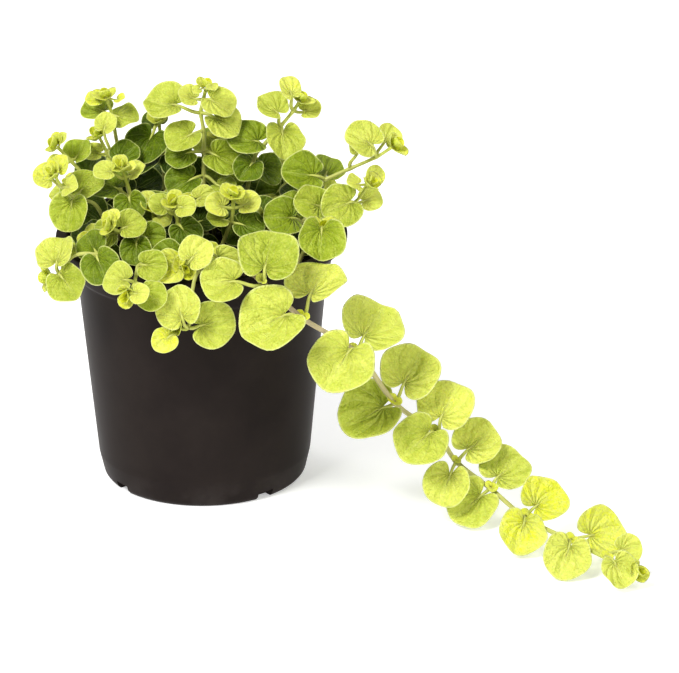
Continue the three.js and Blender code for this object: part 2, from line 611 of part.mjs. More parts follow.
// A leafy stem grown as one body: square stalk turned so that leaves leave its facets, and a bud at the tip
function makeStem(stem) {
  const shell = new Shell();
  const places = turnedPlaces(stem).map(({ i, shift, turn }) => (
    { i, turn, ring: ringOf(shell, stem.line[i], shift, CORNER_RADIUS, turn) }));
  const foot = places[0].ring;
  shell.faces.push(foot[0], foot[1], foot[2], foot[0], foot[2], foot[3]);
  for (let k = 1; k < places.length; k++) {
    const [lower, upper] = [places[k - 1], places[k]];
    const facets = [];
    const pair = lower.i === upper.i ? stem.blades.filter(({ leaf }) => leaf.joint === upper.i) : [];
    for (const blade of pair) {
      const facet = facetFor(blade, upper.turn, facets);
      const next = (facet + 1) % 4;
      facets.push(facet);
      growLeaf(shell, blade, [lower.ring[next], lower.ring[facet], upper.ring[facet], upper.ring[next]]);
    }
    stretch(shell, lower.ring, upper.ring, facets);
  }
  const tip = stem.line[stem.line.length - 1];
  const last = places[places.length - 1];
  const belly = ringOf(shell, tip, 0.5 * BUD_LENGTH, 0.3 * BUD_LENGTH, last.turn);
  const end = shell.add(tip.at.clone().addScaledVector(tip.tangent, BUD_LENGTH));
  stretch(shell, last.ring, belly);
  belly.forEach((corner, i) => shell.faces.push(corner, end, belly[(i + 1) % 4]));
  return shell.solid();
}

// Hole that a stem stands in: the foot of its stalk with the fit gap all round
function holeFor(stem) {
  const shell = new Shell();
  const places = turnedPlaces(stem);
  const top = places.findIndex(({ i }) => stem.line[i].at.z > SOIL_HEIGHT + 2 * SOIL_BUMP);
  const rings = places.slice(0, top + 1).map(({ i, shift, turn }, k) =>
    ringOf(shell, stem.line[i], k ? shift : -FIT_GAP, CORNER_RADIUS + FIT_GAP * Math.SQRT2, turn));
  const [foot, mouth] = [rings[0], rings[rings.length - 1]];
  shell.faces.push(foot[0], foot[1], foot[2], foot[0], foot[2], foot[3]);
  shell.faces.push(mouth[0], mouth[2], mouth[1], mouth[0], mouth[3], mouth[2]);
  for (let k = 1; k < rings.length; k++) stretch(shell, rings[k - 1], rings[k]);
  return shell.solid();
}

// Readies a stem: the light its leaves face, leaning out with its tip, its centre line and its leaves
function readyStem(stem, index) {
  const light = LIGHT.clone();
  const [x, y] = stem.path[stem.path.length - 1];
  const outward = stem.trails ? 0 : stem.outward ?? OUTWARD_LIGHT;
  light.add(new THREE.Vector3(x, y, 0).multiplyScalar(outward / RIM_RADIUS));
  light.normalize();
  const rightward = new THREE.Vector3(1, 0, 0).addScaledVector(light, -light.x).normalize();
  const upward = light.clone().cross(rightward);
  const lift = stem.trails ? TRAIL_LIFT : MOUND_LIFT;
  const line = centreLine(stem);
  const ready = { ...stem, index, light, rightward, upward, lift, line, guards: guardsOf(line) };
  ready.leafList = stem.leaves ? listedLeaves(ready) : pairedLeaves(ready);
  return ready;
}

const stems = [TRAIL, ...SHOWN, ...FILLING].map(readyStem);
const blades = placeLeaves(stems);
for (const stem of stems) stem.blades = blades.filter(({ leaf }) => leaf.stem === stem);

const plastic = new THREE.MeshStandardMaterial({ color: 0x2b2827, roughness: 0.45, metalness: 0 });
const peat = new THREE.MeshStandardMaterial({ color: 0x2a211b, roughness: 0.95, metalness: 0 });

const plant = new THREE.Group();
plant.add(meshOf("pot", makePot(), plastic));
plant.add(meshOf("potting_mix", makeSoil(stems), peat));
for (const stem of stems) {
  const green = new THREE.Color().setHSL(0.19, 0.62, 0.42 + 0.1 * draw(stem.index, 9));
  const leafGreen = new THREE.MeshStandardMaterial({ color: green, roughness: 0.55, metalness: 0 });
  plant.add(meshOf(stem.name, makeStem(stem), leafGreen));
}

export default plant;
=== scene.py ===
"""Potted creeping jenny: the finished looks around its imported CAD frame.

A black nursery pot holds potting mix, a mound of leafy stems and one stem that trails over the rim and out
along the surface. Each leaf is placed by the rule that the solids follow, so the fine piece of a stem keeps
its form. Tables are in millimetres, meshes in metres, +Z up, and the plant is seen from -Y.
"""
import logging
import math
from dataclasses import dataclass, field, fields
from enum import Enum, IntEnum

import bpy
import numpy as np
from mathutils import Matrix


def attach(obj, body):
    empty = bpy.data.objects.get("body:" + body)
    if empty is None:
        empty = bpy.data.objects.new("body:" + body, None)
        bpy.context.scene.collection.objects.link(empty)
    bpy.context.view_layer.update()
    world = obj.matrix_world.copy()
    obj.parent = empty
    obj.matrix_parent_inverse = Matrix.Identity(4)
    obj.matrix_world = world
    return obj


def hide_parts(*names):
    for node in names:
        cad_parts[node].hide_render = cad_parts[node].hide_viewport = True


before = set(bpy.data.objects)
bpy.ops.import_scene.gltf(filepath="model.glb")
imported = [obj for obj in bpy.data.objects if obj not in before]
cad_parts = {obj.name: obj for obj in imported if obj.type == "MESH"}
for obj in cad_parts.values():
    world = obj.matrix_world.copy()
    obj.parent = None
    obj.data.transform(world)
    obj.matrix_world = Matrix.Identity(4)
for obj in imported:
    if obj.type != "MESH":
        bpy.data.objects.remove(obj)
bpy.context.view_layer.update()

Array = np.ndarray
Socket = bpy.types.NodeSocket
Value = float | Socket
log = logging.getLogger("creeping_jenny")

MM = 0.001

# Stems and leaves, as in the solids
SOIL_HEIGHT = 91.0
SOIL_BUMP = 0.8
HOLE_DEPTH = 9.0
FOOT_RISE = 2.0
POT_HEIGHT = 100.0
RIM_RADIUS = 57.0
LIP_WIDTH = 4.4
LIP_DEPTH = 5.0
WALL = 1.2
FLOOR_THICKNESS = 1.8
FOOT_RADIUS = 40.4
SHOULDER_RADIUS = 42.3
SHOULDER_HEIGHT = 10.0
STEP_RADIUS = 49.2
STEP_HEIGHT = 85.4
COLLAR_RADIUS = 53.2
DRAIN_WIDTH = 7.0
DRAIN_HEIGHT = 3.4
DRAIN_TURNS = (38, 128, 218, 308)
STEM_RADIUS = 1.1
BLADE_THICKNESS = 0.8
STALK_LENGTH = 2.0
STALK_SHARES = (0.25, 0.4, 0.55, 0.7, 0.85)
STALK_END = -0.46
YOUNG_LENGTH = 11.0
YOUNG_BASE = -0.75
GROWN_BASE = -0.5
BUD_LENGTH = 5.5
MOUND_LIFT = 1.0
TRAIL_LIFT = 3.0
CROWN_PAIR = 0.96
GROUND_GAP = 0.3
LIGHT = np.array([0.0, -0.68, 0.73])
YOUNG_TIP = -0.35
GROWN_TIP = 0.12
TIP_SPREAD = 0.3
ROLL_SPREAD = 0.4
TURN_SPREAD = 20
LINE_STEPS = 48
KNOT_STEPS = 4
SEED = 20837
WORD = 0xFFFFFFFF
KEY_OFFSET = 40503
KEY_STIR = 2246822519
LAST_STIR = 3266489917

# Cup, fold, droop, wave and phase of a leaf: the least of each and how much a draw adds
FORM_LEAST = np.array([0.05, 0.08, 0.0, 0.03, 0.0])
FORM_SPREAD = np.array([0.16, 0.18, 0.3, 0.07, 2 * math.pi])

# How far leaves keep clear of each other, of stems and of stalks, and how a stalk may run
LEAF_GAP = 1.6
PAIR_GAP = 1.2
STEM_GAP = STEM_RADIUS + BLADE_THICKNESS / 2 + 0.8
STALK_TO_STEM = 2.6 * STEM_RADIUS
STALK_TO_STALK = 2.2
POT_GAP = 1.4
GUARD_STEP = 2.0
JOINT_REACH = 1.6
GUARD_RANGE = 45.0
MIN_ALONG = 0.4
MAX_SLANT = 0.85
MAX_TWIN = 0.6


class Slot(Enum):
    """Material slots of the record."""

    POT = "pot_plastic"
    MIX = "potting_mix"
    FOLIAGE = "foliage"


class Salt(IntEnum):
    """What a draw is for: the last of its keys."""

    TURN = 1
    TIP = 2
    ROLL = 3
    CUP = 4
    FOLD = 5
    DROOP = 6
    WAVE = 7
    PHASE = 8
    TONE = 10
    BUD_SPIN = 11
    BUD_LEAN = 12
    BUD_PHASE = 13
    BUD_SEED = 14
    SHOOT_SIZE = 15
    SHOOT_TURN = 16
    SHOOT_PHASE = 17
    SHOOT_SEED = 18
    LEAF_SEED = 19
    BUD_SIZE = 20


@dataclass(frozen=True)
class StemSpec:
    """How a stem grows. Root is its place in the mix and path the knots that it passes. Leaves are listed by
    knot as length, right and above, seen from the light; a filling stem has its leaves by rule instead."""

    name: str
    root: list[float]
    path: list[list[float]]
    leaves: list[list[list[float]]] = field(default_factory=list)
    outward: float = 0.4
    trails: bool = False
    leaf: float = 0.0
    pairs: int = 0
    bare: float = 0.0
    spin: float = 0.0


TRAIL = StemSpec("stem_trailing", root=[8, -34], trails=True,
    path=[[14, -44, 99], [19, -52, 103.5], [25, -60, 101], [40, -58, 86], [60, -52, 70], [75, -47, 47],
          [91, -46, 34], [99, -46, 22], [112, -51, 13], [125, -70, 9], [141, -91, 9], [153, -106, 9],
          [163, -113, 7]],
    leaves=[[], [], [[17, -15, -1], [23, 2, 8]], [[25, -13, -2], [23, 5, 13]], [[25, -4, -5], [25, 6, 10]],
            [[25, -10, -4], [23, 6, 12]], [[21, -4, -4], [22, 4, 9]], [[18, -4, -11], [19, 8, 7]],
            [[20, -4, -9], [20, 6, 7]], [[18, -1, -10], [19, 7, 6]], [[18, 0, -10], [20, 12, 2]],
            [[14, 5, -7], [11, 8, -3]]])

# Stems of the mound that show from the front: name, outward, root, path and leaves
SHOWN = [
    StemSpec(f"stem_{name}", root, path, leaves, outward)
    for name, outward, root, path, leaves in (
        ("front", 1.6, [4, -38],
         [[3, -48, 101], [0, -57, 103], [-2, -62, 94], [-3, -62, 84], [-7, -63, 84]],
         [[], [], [], [[17, -3, 8], [18, 9, 3]], [[10, -1, -1]]]),
        ("front_left", 0.4, [-18, -34],
         [[-20, -43, 102], [-22, -52, 104.5], [-23, -60, 101], [-25, -64, 98]],
         [[[12, 5, -4]], [[12, 4, -4]], [[13, -5, 1], [12, 7, -6]], [[8, 4, -1]]]),
        ("left_low", 0.25, [-30, -24], [[-38, -38, 104], [-47, -37, 103.5], [-53, -36, 96], [-56, -35, 94]],
         [[[15, 3, -7], [13, -4, 5]], [], [[16, 0, 5], [15, 4, -6]], []]),
        ("front_low", 0.4, [14, -26], [[10, -34, 100], [4, -42, 105]],
         [[], [[15, 1, -7]]]),
        ("front_mid", 1, [-7, -34], [[-6, -42, 102], [-4, -54, 104.5]],
         [[[13, -6, 2]], [[13, -6, 0], [13, 6, -2]]]),
        ("left_front", 0.4, [-24, -22], [[-23, -28, 107], [-30, -31, 111], [-33, -32, 113]],
         [[[14, 0, -5], [12, 5, 0]], [[12, -6, 0], [12, 4, 2]], [[5, 1, 2]]]),
        ("left_upper", 0.4, [-34, -3], [[-40, -8, 113], [-48, -10, 117], [-53, -11, 122], [-56, -11, 127]],
         [[], [[16, -1, -5], [15, 4, 6]], [[10, -7, 6], [9, 3, -1]], [[8, 3, 4]]]),
        ("left_back", 0.4, [-34, 14], [[-45, 11, 117], [-51, 9, 126], [-56, 8, 132]],
         [[[14, 4, 5], [11, -6, -4]], [[12, 2, 5], [8, -6, -1]], [[5, 3, 2]]]),
        ("left_tall", 0.4, [-26, 20], [[-33, 18, 128], [-35, 17, 142], [-37, 17, 149]],
         [[], [[13, -7, 2], [12, 4, -1]], [[7, -5, 0], [5, 6, -2]]]),
        ("centre_tall", 0.4, [2, 2],
         [[1, 3, 122], [1, 6, 131], [1, 7, 139], [0, 8, 146], [1, 9, 151], [2, 10, 155]],
         [[[15, -8, -4], [10, 8, -6]], [[16, 8, -4], [13, -9, -2]], [[15, -8, -4]],
          [[17, -14, 4], [15, 9, -5]], [[14, 6, -3], [9, -6, 1]], [[5, 4, -2], [4, -2, -1]]]),
        ("left_rear", 0.4, [-30, 6], [[-33, 12, 120], [-37, 13, 128], [-40, 14, 134]],
         [[[12, 5, 4], [10, -7, 4]], [[9, 0, 4], [8, -6, 2]], []]),
        ("right_tall", 0.4, [14, 8], [[20, 5, 126], [24, 6, 133], [31, 7, 141], [36, 8, 147], [38, 9, 150]],
         [[[12, -3, -5], [13, 7, -1]], [[17, -7, 1]], [[16, 1, -7], [13, -5, 4]],
          [[10, -2, 3], [9, 7, 2]], []]),
        ("right_long", 0.4, [24, -4],
         [[38, -4, 118], [48, -5, 123], [58, -6, 128], [68, -7, 133], [74, -7, 137]],
         [[], [[17, -10, 0], [13, 3, 7]], [[10, 0, 4]], [[15, -8, 4], [10, 5, 10]], [[8, 2, 2]]]),
        ("right_mid", 0.4, [30, -12], [[39, -14, 109], [50, -14, 112], [59, -13, 116], [65, -12, 123]],
         [[[16, -9, -1], [14, -5, 7]], [[14, -10, 1]], [[17, -7, -4], [10, 7, 3]],
          [[8, 1, 5], [8, -7, -1]]]),
        ("right_front", 0, [38, -18], [[43, -22, 105], [47, -27, 111]],
         [[], [[18, 0, -7]]]),
        ("centre_front", 0.4, [6, -18], [[12, -20, 111], [13, -21, 117], [13, -22, 122]],
         [[[9, -2, 0], [13, 7, -2]], [[10, -6, 2], [10, 6, 2]], [[5, 1, 1]]]),
        ("mid_left", 0.4, [-9, -22], [[-8, -25, 112], [-10, -26, 118], [-10, -27, 121]],
         [[[13, 3, -4]], [[9, -5, 2], [9, 5, -1]], []]),
        ("left_inner", 0.4, [-23, -6], [[-27, -7, 117], [-29, -8, 125], [-30, -9, 129]],
         [[[16, -10, -1], [13, 1, -6]], [[9, -5, 0], [8, 5, 2]], [[5, 1, 0]]]),
        ("back_left", 0.4, [-14, 20], [[-16, 20, 127], [-17, 20, 138]],
         [[[15, -7, -6], [14, 7, -8]], [[17, -4, -9], [18, -3, 5]]]),
    )
]

# Filling stems: name, root, path, leaf length, pairs of leaves, bare share and turn of the first pair
FILLING = [
    StemSpec(f"stem_{name}", root, path, leaf=leaf, pairs=pairs, bare=bare, spin=spin)
    for name, root, path, leaf, pairs, bare, spin in (
        ("inner_left", [-17, -12], [[-18, -13, 103], [-18, -14, 114]], 16, 3, 0.4, 60),
        ("inner_mid", [-4, -8], [[-5, -9, 104], [-4, -10, 114]], 18, 3, 0.4, 110),
        ("inner_right", [18, -12], [[20, -13, 103], [24, -15, 110]], 18, 3, 0.4, 40),
        ("back_right", [26, 18], [[30, 20, 106], [36, 24, 120]], 18, 3, 0.4, 50),
        ("centre_back", [4, 22], [[5, 23, 110], [6, 25, 130]], 19, 4, 0.4, 20),
        ("side_right", [36, 4], [[43, 7, 103], [50, 10, 111]], 18, 3, 0.45, 10),
        ("side_left", [-42, 6], [[-47, 12, 103], [-52, 18, 112]], 17, 2, 0.5, 0),
        ("back_mid", [10, 36], [[11, 41, 105], [13, 48, 116]], 18, 3, 0.45, 20),
        ("back_far", [-10, 38], [[-12, 44, 104], [-14, 52, 112]], 18, 3, 0.45, 65),
        ("back_corner", [-28, 30], [[-34, 36, 104], [-41, 41, 114]], 18, 3, 0.45, 38),
        ("back_edge", [30, 32], [[36, 37, 103], [43, 42, 110]], 17, 3, 0.45, 70),
        ("inner_back", [-8, 8], [[-8, 9, 102], [-7, 9, 112]], 16, 3, 0.4, 80),
        ("mid_right", [24, 2], [[26, 2, 102], [28, 1, 109]], 15, 2, 0.4, 100),
        ("left_mid", [-38, -14], [[-41, -18, 98], [-43, -21, 102]], 15, 2, 0.5, 60),
    )
]


def draw(*keys: int) -> float:
    """A repeatable draw from 0 to 1 that whole numbers fix.

    Args:
        keys: The whole numbers.

    Returns:
        The draw.
    """
    state = SEED
    for key in keys:
        state = ((state ^ (key + KEY_OFFSET)) * KEY_STIR) & WORD
        state ^= state >> 13
    state = (state * LAST_STIR) & WORD
    return (state ^ (state >> 16)) / 2**32


def unit(vectors: Array) -> Array:
    """Vectors scaled to length 1."""
    return vectors / np.linalg.norm(vectors, axis=-1, keepdims=True)


def round_angles(count: int) -> Array:
    """Angles evenly apart round a whole turn."""
    return 2 * math.pi * np.arange(count) / count


def travelled(points: Array) -> Array:
    """The length of the way through points, up to each of them."""
    return np.concatenate([[0], np.cumsum(np.linalg.norm(np.diff(points, axis=0), axis=1))])


class Curve:
    """A smooth curve through knots: a cubic between each two, whose slope at a knot is half the way from the
    knot before it to the knot after it."""

    def __init__(self, knots: Array) -> None:
        """Keeps the knots, with one more past each end, as far out as the next one is in."""
        self.spans = len(knots) - 1
        self.knots = np.vstack([2 * knots[0] - knots[1], knots, 2 * knots[-1] - knots[-2]])

    def at(self, shares: Array) -> Array:
        """Points of the curve.

        Args:
            shares: Places along the curve, 0 at its start and 1 at its end, with knots evenly apart.

        Returns:
            One point for each place.
        """
        place = shares * self.spans
        span = np.clip(np.floor(place).astype(int), 0, self.spans - 1)
        t = (place - span)[:, None]
        before, start, end, after = (self.knots[span + i] for i in range(4))
        leave = 0.5 * (end - before)
        arrive = 0.5 * (after - start)
        bend = 3 * (end - start) - 2 * leave - arrive
        turn = 2 * (start - end) + leave + arrive
        return start + leave * t + bend * t**2 + turn * t**3

    def even(self, count: int, divisions: int = 200) -> Array:
        """Places along the curve that are evenly apart in length, from a walk of short steps.

        Args:
            count: How many stretches to part it into.
            divisions: How many steps the walk has.

        Returns:
            The places, count + 1 of them.
        """
        steps = np.linspace(0, 1, divisions + 1)
        lengths = travelled(self.at(steps))
        return np.interp(np.arange(count + 1) / count * lengths[-1], lengths, steps)


@dataclass(frozen=True)
class Line:
    """A centre line: at each of its points the way it runs and two directions across it, carried along
    without twist."""

    at: Array
    tangent: Array
    side: Array
    ahead: Array

    @classmethod
    def through(cls, points: Array) -> "Line":
        """The line through points. It runs at each from the point before to the point after, and side is the
        last side made square to the run.

        Args:
            points: The points, in order.

        Returns:
            The line.
        """
        index = np.arange(len(points))
        last = len(points) - 1
        tangent = unit(points[np.minimum(index + 1, last)] - points[np.maximum(index - 1, 0)])
        side = np.array([1.0, 0.0, 0.0])
        sides = []
        for run in tangent:
            side = unit(side - run * (side @ run))
            sides.append(side)
        return cls(points, tangent, np.array(sides), np.cross(np.array(sides), tangent))


def relief(form: Array, across: Array, along: Array) -> Array:
    """Height of a blade over its plane, in radii: cup times the reach squared, plus fold times how far past
    0.4 the place lies across, less droop times the square of the way past the middle, plus wave times the
    reach cubed times the sine of three turns and phase.

    Args:
        form: Cup, fold, droop, wave and phase, along its last axis.
        across: Places across the blade, in radii.
        along: Places along it, in radii.

    Returns:
        The heights.
    """
    cup, fold, droop, wave, phase = (form[..., i] for i in range(5))
    reach = np.hypot(across, along)
    ripple = np.sin(3 * np.arctan2(across, along) + phase)
    return (cup * reach**2 + fold * (np.abs(across) - 0.4) - droop * np.maximum(along, 0) ** 2
            + wave * reach**3 * ripple)


def outline_radius(angle: Array) -> Array:
    """A blade's outline radius, in radii, by the angle from its tip: round, with a notch at the stalk."""
    notch = np.exp(-(((math.pi - np.abs(angle)) / 0.3) ** 2))
    return 1 - 0.03 * np.cos(2 * angle) - 0.5 * notch


def full_outline(angle: Array) -> Array:
    """The outline of a fine leaf, by the angle from its tip: as the solid's, but with a narrower notch and
    fuller lobes on both sides of it, which close over the stalk.

    Args:
        angle: Angles from the tip.

    Returns:
        The radius at each, in radii.
    """
    lobes = np.exp(-(((np.abs(angle) - 2.5) / 0.38) ** 2))
    notch = np.exp(-(((math.pi - np.abs(angle)) / 0.2) ** 2))
    return 1 - 0.03 * np.cos(2 * angle) + 0.09 * lobes - 0.58 * notch


def spread_places() -> tuple[Array, Array]:
    """Places that cover a blade, in rings of 6, 12 and 18 round its middle.

    Returns:
        The places across and the places along, in radii.
    """
    across, along = [np.zeros(1)], [np.zeros(1)]
    for reach, count in ((0.36, 6), (0.7, 12), (1.0, 18)):
        angle = 2 * math.pi * ((np.arange(count) + 0.5) / count - 0.5)
        radius = reach * outline_radius(angle)
        across.append(radius * np.sin(angle))
        along.append(radius * np.cos(angle))
    return np.concatenate(across), np.concatenate(along)


SPREAD = spread_places()


@dataclass(frozen=True)
class Plane:
    """Where a blade lies: its middle, its directions across, along and up, its radius and its form. The
    arrays may have a leading axis, for many blades at once."""

    centre: Array
    across: Array
    along: Array
    up: Array
    radius: Array
    form: Array

    @classmethod
    def facing(cls, centre: Array, along: Array, up: Array, radius: float, form: Array) -> "Plane":
        """The plane of one blade, whose across is square to along and up."""
        return cls(centre, np.cross(along, up), along, up, np.float64(radius), form)

    @classmethod
    def stacked(cls, planes: "list[Plane]") -> "Plane":
        """Many planes as one, whose arrays have a leading axis."""
        return cls(*(np.array([getattr(plane, part.name) for plane in planes]) for part in fields(cls)))

    def chosen(self, rows: Array) -> "Plane":
        """Some planes of a stack, with one more axis that broadcasts against points."""
        return Plane(*(getattr(self, part.name)[rows][:, None] for part in fields(self)))

    def point(self, across: Array, along: Array, above: Array | float = 0.0) -> Array:
        """Points of the blade: middle plus radius times across, along and relief in their directions.

        Args:
            across: Places across it, in radii.
            along: Places along it, in radii.
            above: Height over its face in millimetres.

        Returns:
            The points.
        """
        height = self.radius * relief(self.form, across, along) + above
        return (self.centre + self.across * (self.radius * across)[..., None]
                + self.along * (self.radius * along)[..., None] + self.up * height[..., None])

    def gap(self, points: Array) -> Array:
        """How far points stand off the blade's face or past its edge: the root of the sum of both squared.

        Args:
            points: The points. Many blades need axes that broadcast against theirs.

        Returns:
            One distance for each point.
        """
        offset = points - self.centre
        across = (offset * self.across).sum(-1) / self.radius
        along = (offset * self.along).sum(-1) / self.radius
        reach = np.hypot(across, along)
        past = np.maximum(reach - outline_radius(np.arctan2(across, along)), 0)
        inside = 1 / np.maximum(reach, 1)
        off = (offset * self.up).sum(-1) - self.radius * relief(self.form, across * inside, along * inside)
        return np.hypot(off, past * self.radius)


@dataclass(frozen=True)
class Leaf:
    """A leaf that a stem should bear, before it has a place."""

    pair: int
    side: int
    joint: int
    length: float
    right: float
    above: float


@dataclass(frozen=True)
class Blade:
    """A leaf's blade in its place, with points over it and along its stalk."""

    stem: int
    leaf: Leaf
    plane: Plane
    points: Array
    stalk: Array
    bearing: float


class Stem:
    """A stem ready to grow: the light that its leaves face, its centre line and the leaves it should bear."""

    def __init__(self, spec: StemSpec, index: int) -> None:
        """Leans the light out with the stem's tip, draws the line and lists the leaves.

        Args:
            spec: How the stem grows.
            index: Its number, which its draws use.
        """
        self.spec = spec
        self.index = index
        outward = 0.0 if spec.trails else spec.outward
        tip = spec.path[-1]
        self.light = unit(LIGHT + np.array([tip[0], tip[1], 0.0]) * outward / RIM_RADIUS)
        self.rightward = unit(np.array([1.0, 0.0, 0.0]) - self.light * self.light[0])
        self.upward = np.cross(self.light, self.rightward)
        self.lift = TRAIL_LIFT if spec.trails else MOUND_LIFT
        x, y = spec.root
        buried = [[x, y, SOIL_HEIGHT - HOLE_DEPTH], [x, y, SOIL_HEIGHT + FOOT_RISE]]
        knots = np.array([*buried, *spec.path], float)
        self.curve = Curve(knots)
        count = KNOT_STEPS * (len(knots) - 1)
        self.shares = np.arange(count + 1) / count if spec.leaves else self.curve.even(LINE_STEPS)
        self.line = Line.through(self.curve.at(self.shares))
        self.guards = self.guard_points()
        self.leaves = self.listed() if spec.leaves else self.paired()

    def guard_points(self) -> Array:
        """Points along the stem and its bud, 2 mm apart or less, that leaves keep clear of.

        Returns:
            The points.
        """
        ends = np.vstack([self.line.at[1:], self.line.at[-1] + self.line.tangent[-1] * BUD_LENGTH])
        steps = np.ceil(np.linalg.norm(ends - self.line.at, axis=1) / GUARD_STEP).astype(int)
        return np.vstack([start + (end - start) * (np.arange(n) + 1)[:, None] / n
                          for start, end, n in zip(self.line.at, ends, steps)])

    def listed(self) -> list[Leaf]:
        """Leaves listed at the knots of the stem's path."""
        return [Leaf(pair, side, KNOT_STEPS * (pair + 2), *leaf)
                for pair, sizes in enumerate(self.spec.leaves) for side, leaf in enumerate(sizes)]

    def paired(self) -> list[Leaf]:
        """Leaves by rule: each pair a quarter turn from the last, smaller toward the crown.

        Returns:
            The leaves, from the lowest pair up.
        """
        spec, found = self.spec, []
        for pair in range(spec.pairs + 1):
            up = spec.bare + (CROWN_PAIR - spec.bare) * pair / spec.pairs
            share = 0.5 if pair == spec.pairs else 0.9 if pair == spec.pairs - 1 else 1.0
            length = spec.leaf * share
            reach = 0.42 * length + STALK_LENGTH
            for side in (0, 1):
                spread = TURN_SPREAD * (draw(self.index, pair, side, Salt.TURN) - 0.5)
                angle = math.radians(spec.spin + 90 * pair + 180 * side + spread)
                found.append(Leaf(pair, side, math.floor(up * LINE_STEPS + 0.5), length,
                                  reach * math.cos(angle), reach * math.sin(angle)))
        return found

    def place(self, leaf: Leaf, scale: float, turn: float, lift: float) -> Blade:
        """Places a blade: its plane faces the light, tipped a little outward when grown and inward when
        young, and its form is drawn from its key.

        Args:
            leaf: The leaf.
            scale: How much of its size it keeps.
            turn: How far it moves about its joint, in degrees.
            lift: How far it moves off its joint, in millimetres.

        Returns:
            The blade.
        """
        at = self.line.at[leaf.joint]
        radius = leaf.length / 2 * scale
        angle = math.atan2(leaf.above, leaf.right) + math.radians(turn)
        height = self.lift + lift
        notch = float(outline_radius(np.float64(math.pi))) * radius + 2 * STEM_RADIUS + 0.3 * height
        reach = max(math.hypot(leaf.right, leaf.above) * scale, notch)
        outward = self.rightward * math.cos(angle) + self.upward * math.sin(angle)
        key = (self.index, leaf.pair, leaf.side)
        tip = YOUNG_TIP if leaf.length < YOUNG_LENGTH else GROWN_TIP
        tip = tip + TIP_SPREAD * (draw(*key, Salt.TIP) - 0.5)
        roll = ROLL_SPREAD * (draw(*key, Salt.ROLL) - 0.5)
        up = unit(self.light + outward * tip + np.cross(self.light, outward) * roll)
        along = unit(outward - up * (outward @ up))
        parts = (Salt.CUP, Salt.FOLD, Salt.DROOP, Salt.WAVE, Salt.PHASE)
        form = FORM_LEAST + FORM_SPREAD * np.array([draw(*key, part) for part in parts])
        plane = Plane.facing(at + outward * reach + self.light * height, along, up, radius, form)
        notch_place = YOUNG_BASE if radius < YOUNG_LENGTH / 2 else GROWN_BASE
        base = plane.point(np.float64(0), np.float64(notch_place))
        stalk = at + (base - at) * np.array(STALK_SHARES)[:, None]
        run = stalk[-1] - at
        bearing = math.atan2(run @ self.line.ahead[leaf.joint], run @ self.line.side[leaf.joint])
        return Blade(self.index, leaf, plane, plane.point(*SPREAD), stalk, bearing)


def clear_of_pot(points: Array) -> bool:
    """Whether points are all clear of the pot, the mix and the surface below.

    Args:
        points: The points.

    Returns:
        True when each of them is.
    """
    x, y, z = points.T
    reach = np.hypot(x, y)
    below_lip = np.where(z > STEP_HEIGHT - POT_GAP, COLLAR_RADIUS, STEP_RADIUS)
    wall = np.where(z > POT_HEIGHT - LIP_DEPTH, RIM_RADIUS, below_lip)
    over = np.where(reach < RIM_RADIUS - LIP_WIDTH - POT_GAP, z > SOIL_HEIGHT + SOIL_BUMP + POT_GAP,
                    reach > wall + POT_GAP)
    return bool(((z >= GROUND_GAP + BLADE_THICKNESS / 2) & ((z > POT_HEIGHT + POT_GAP) | over)).all())


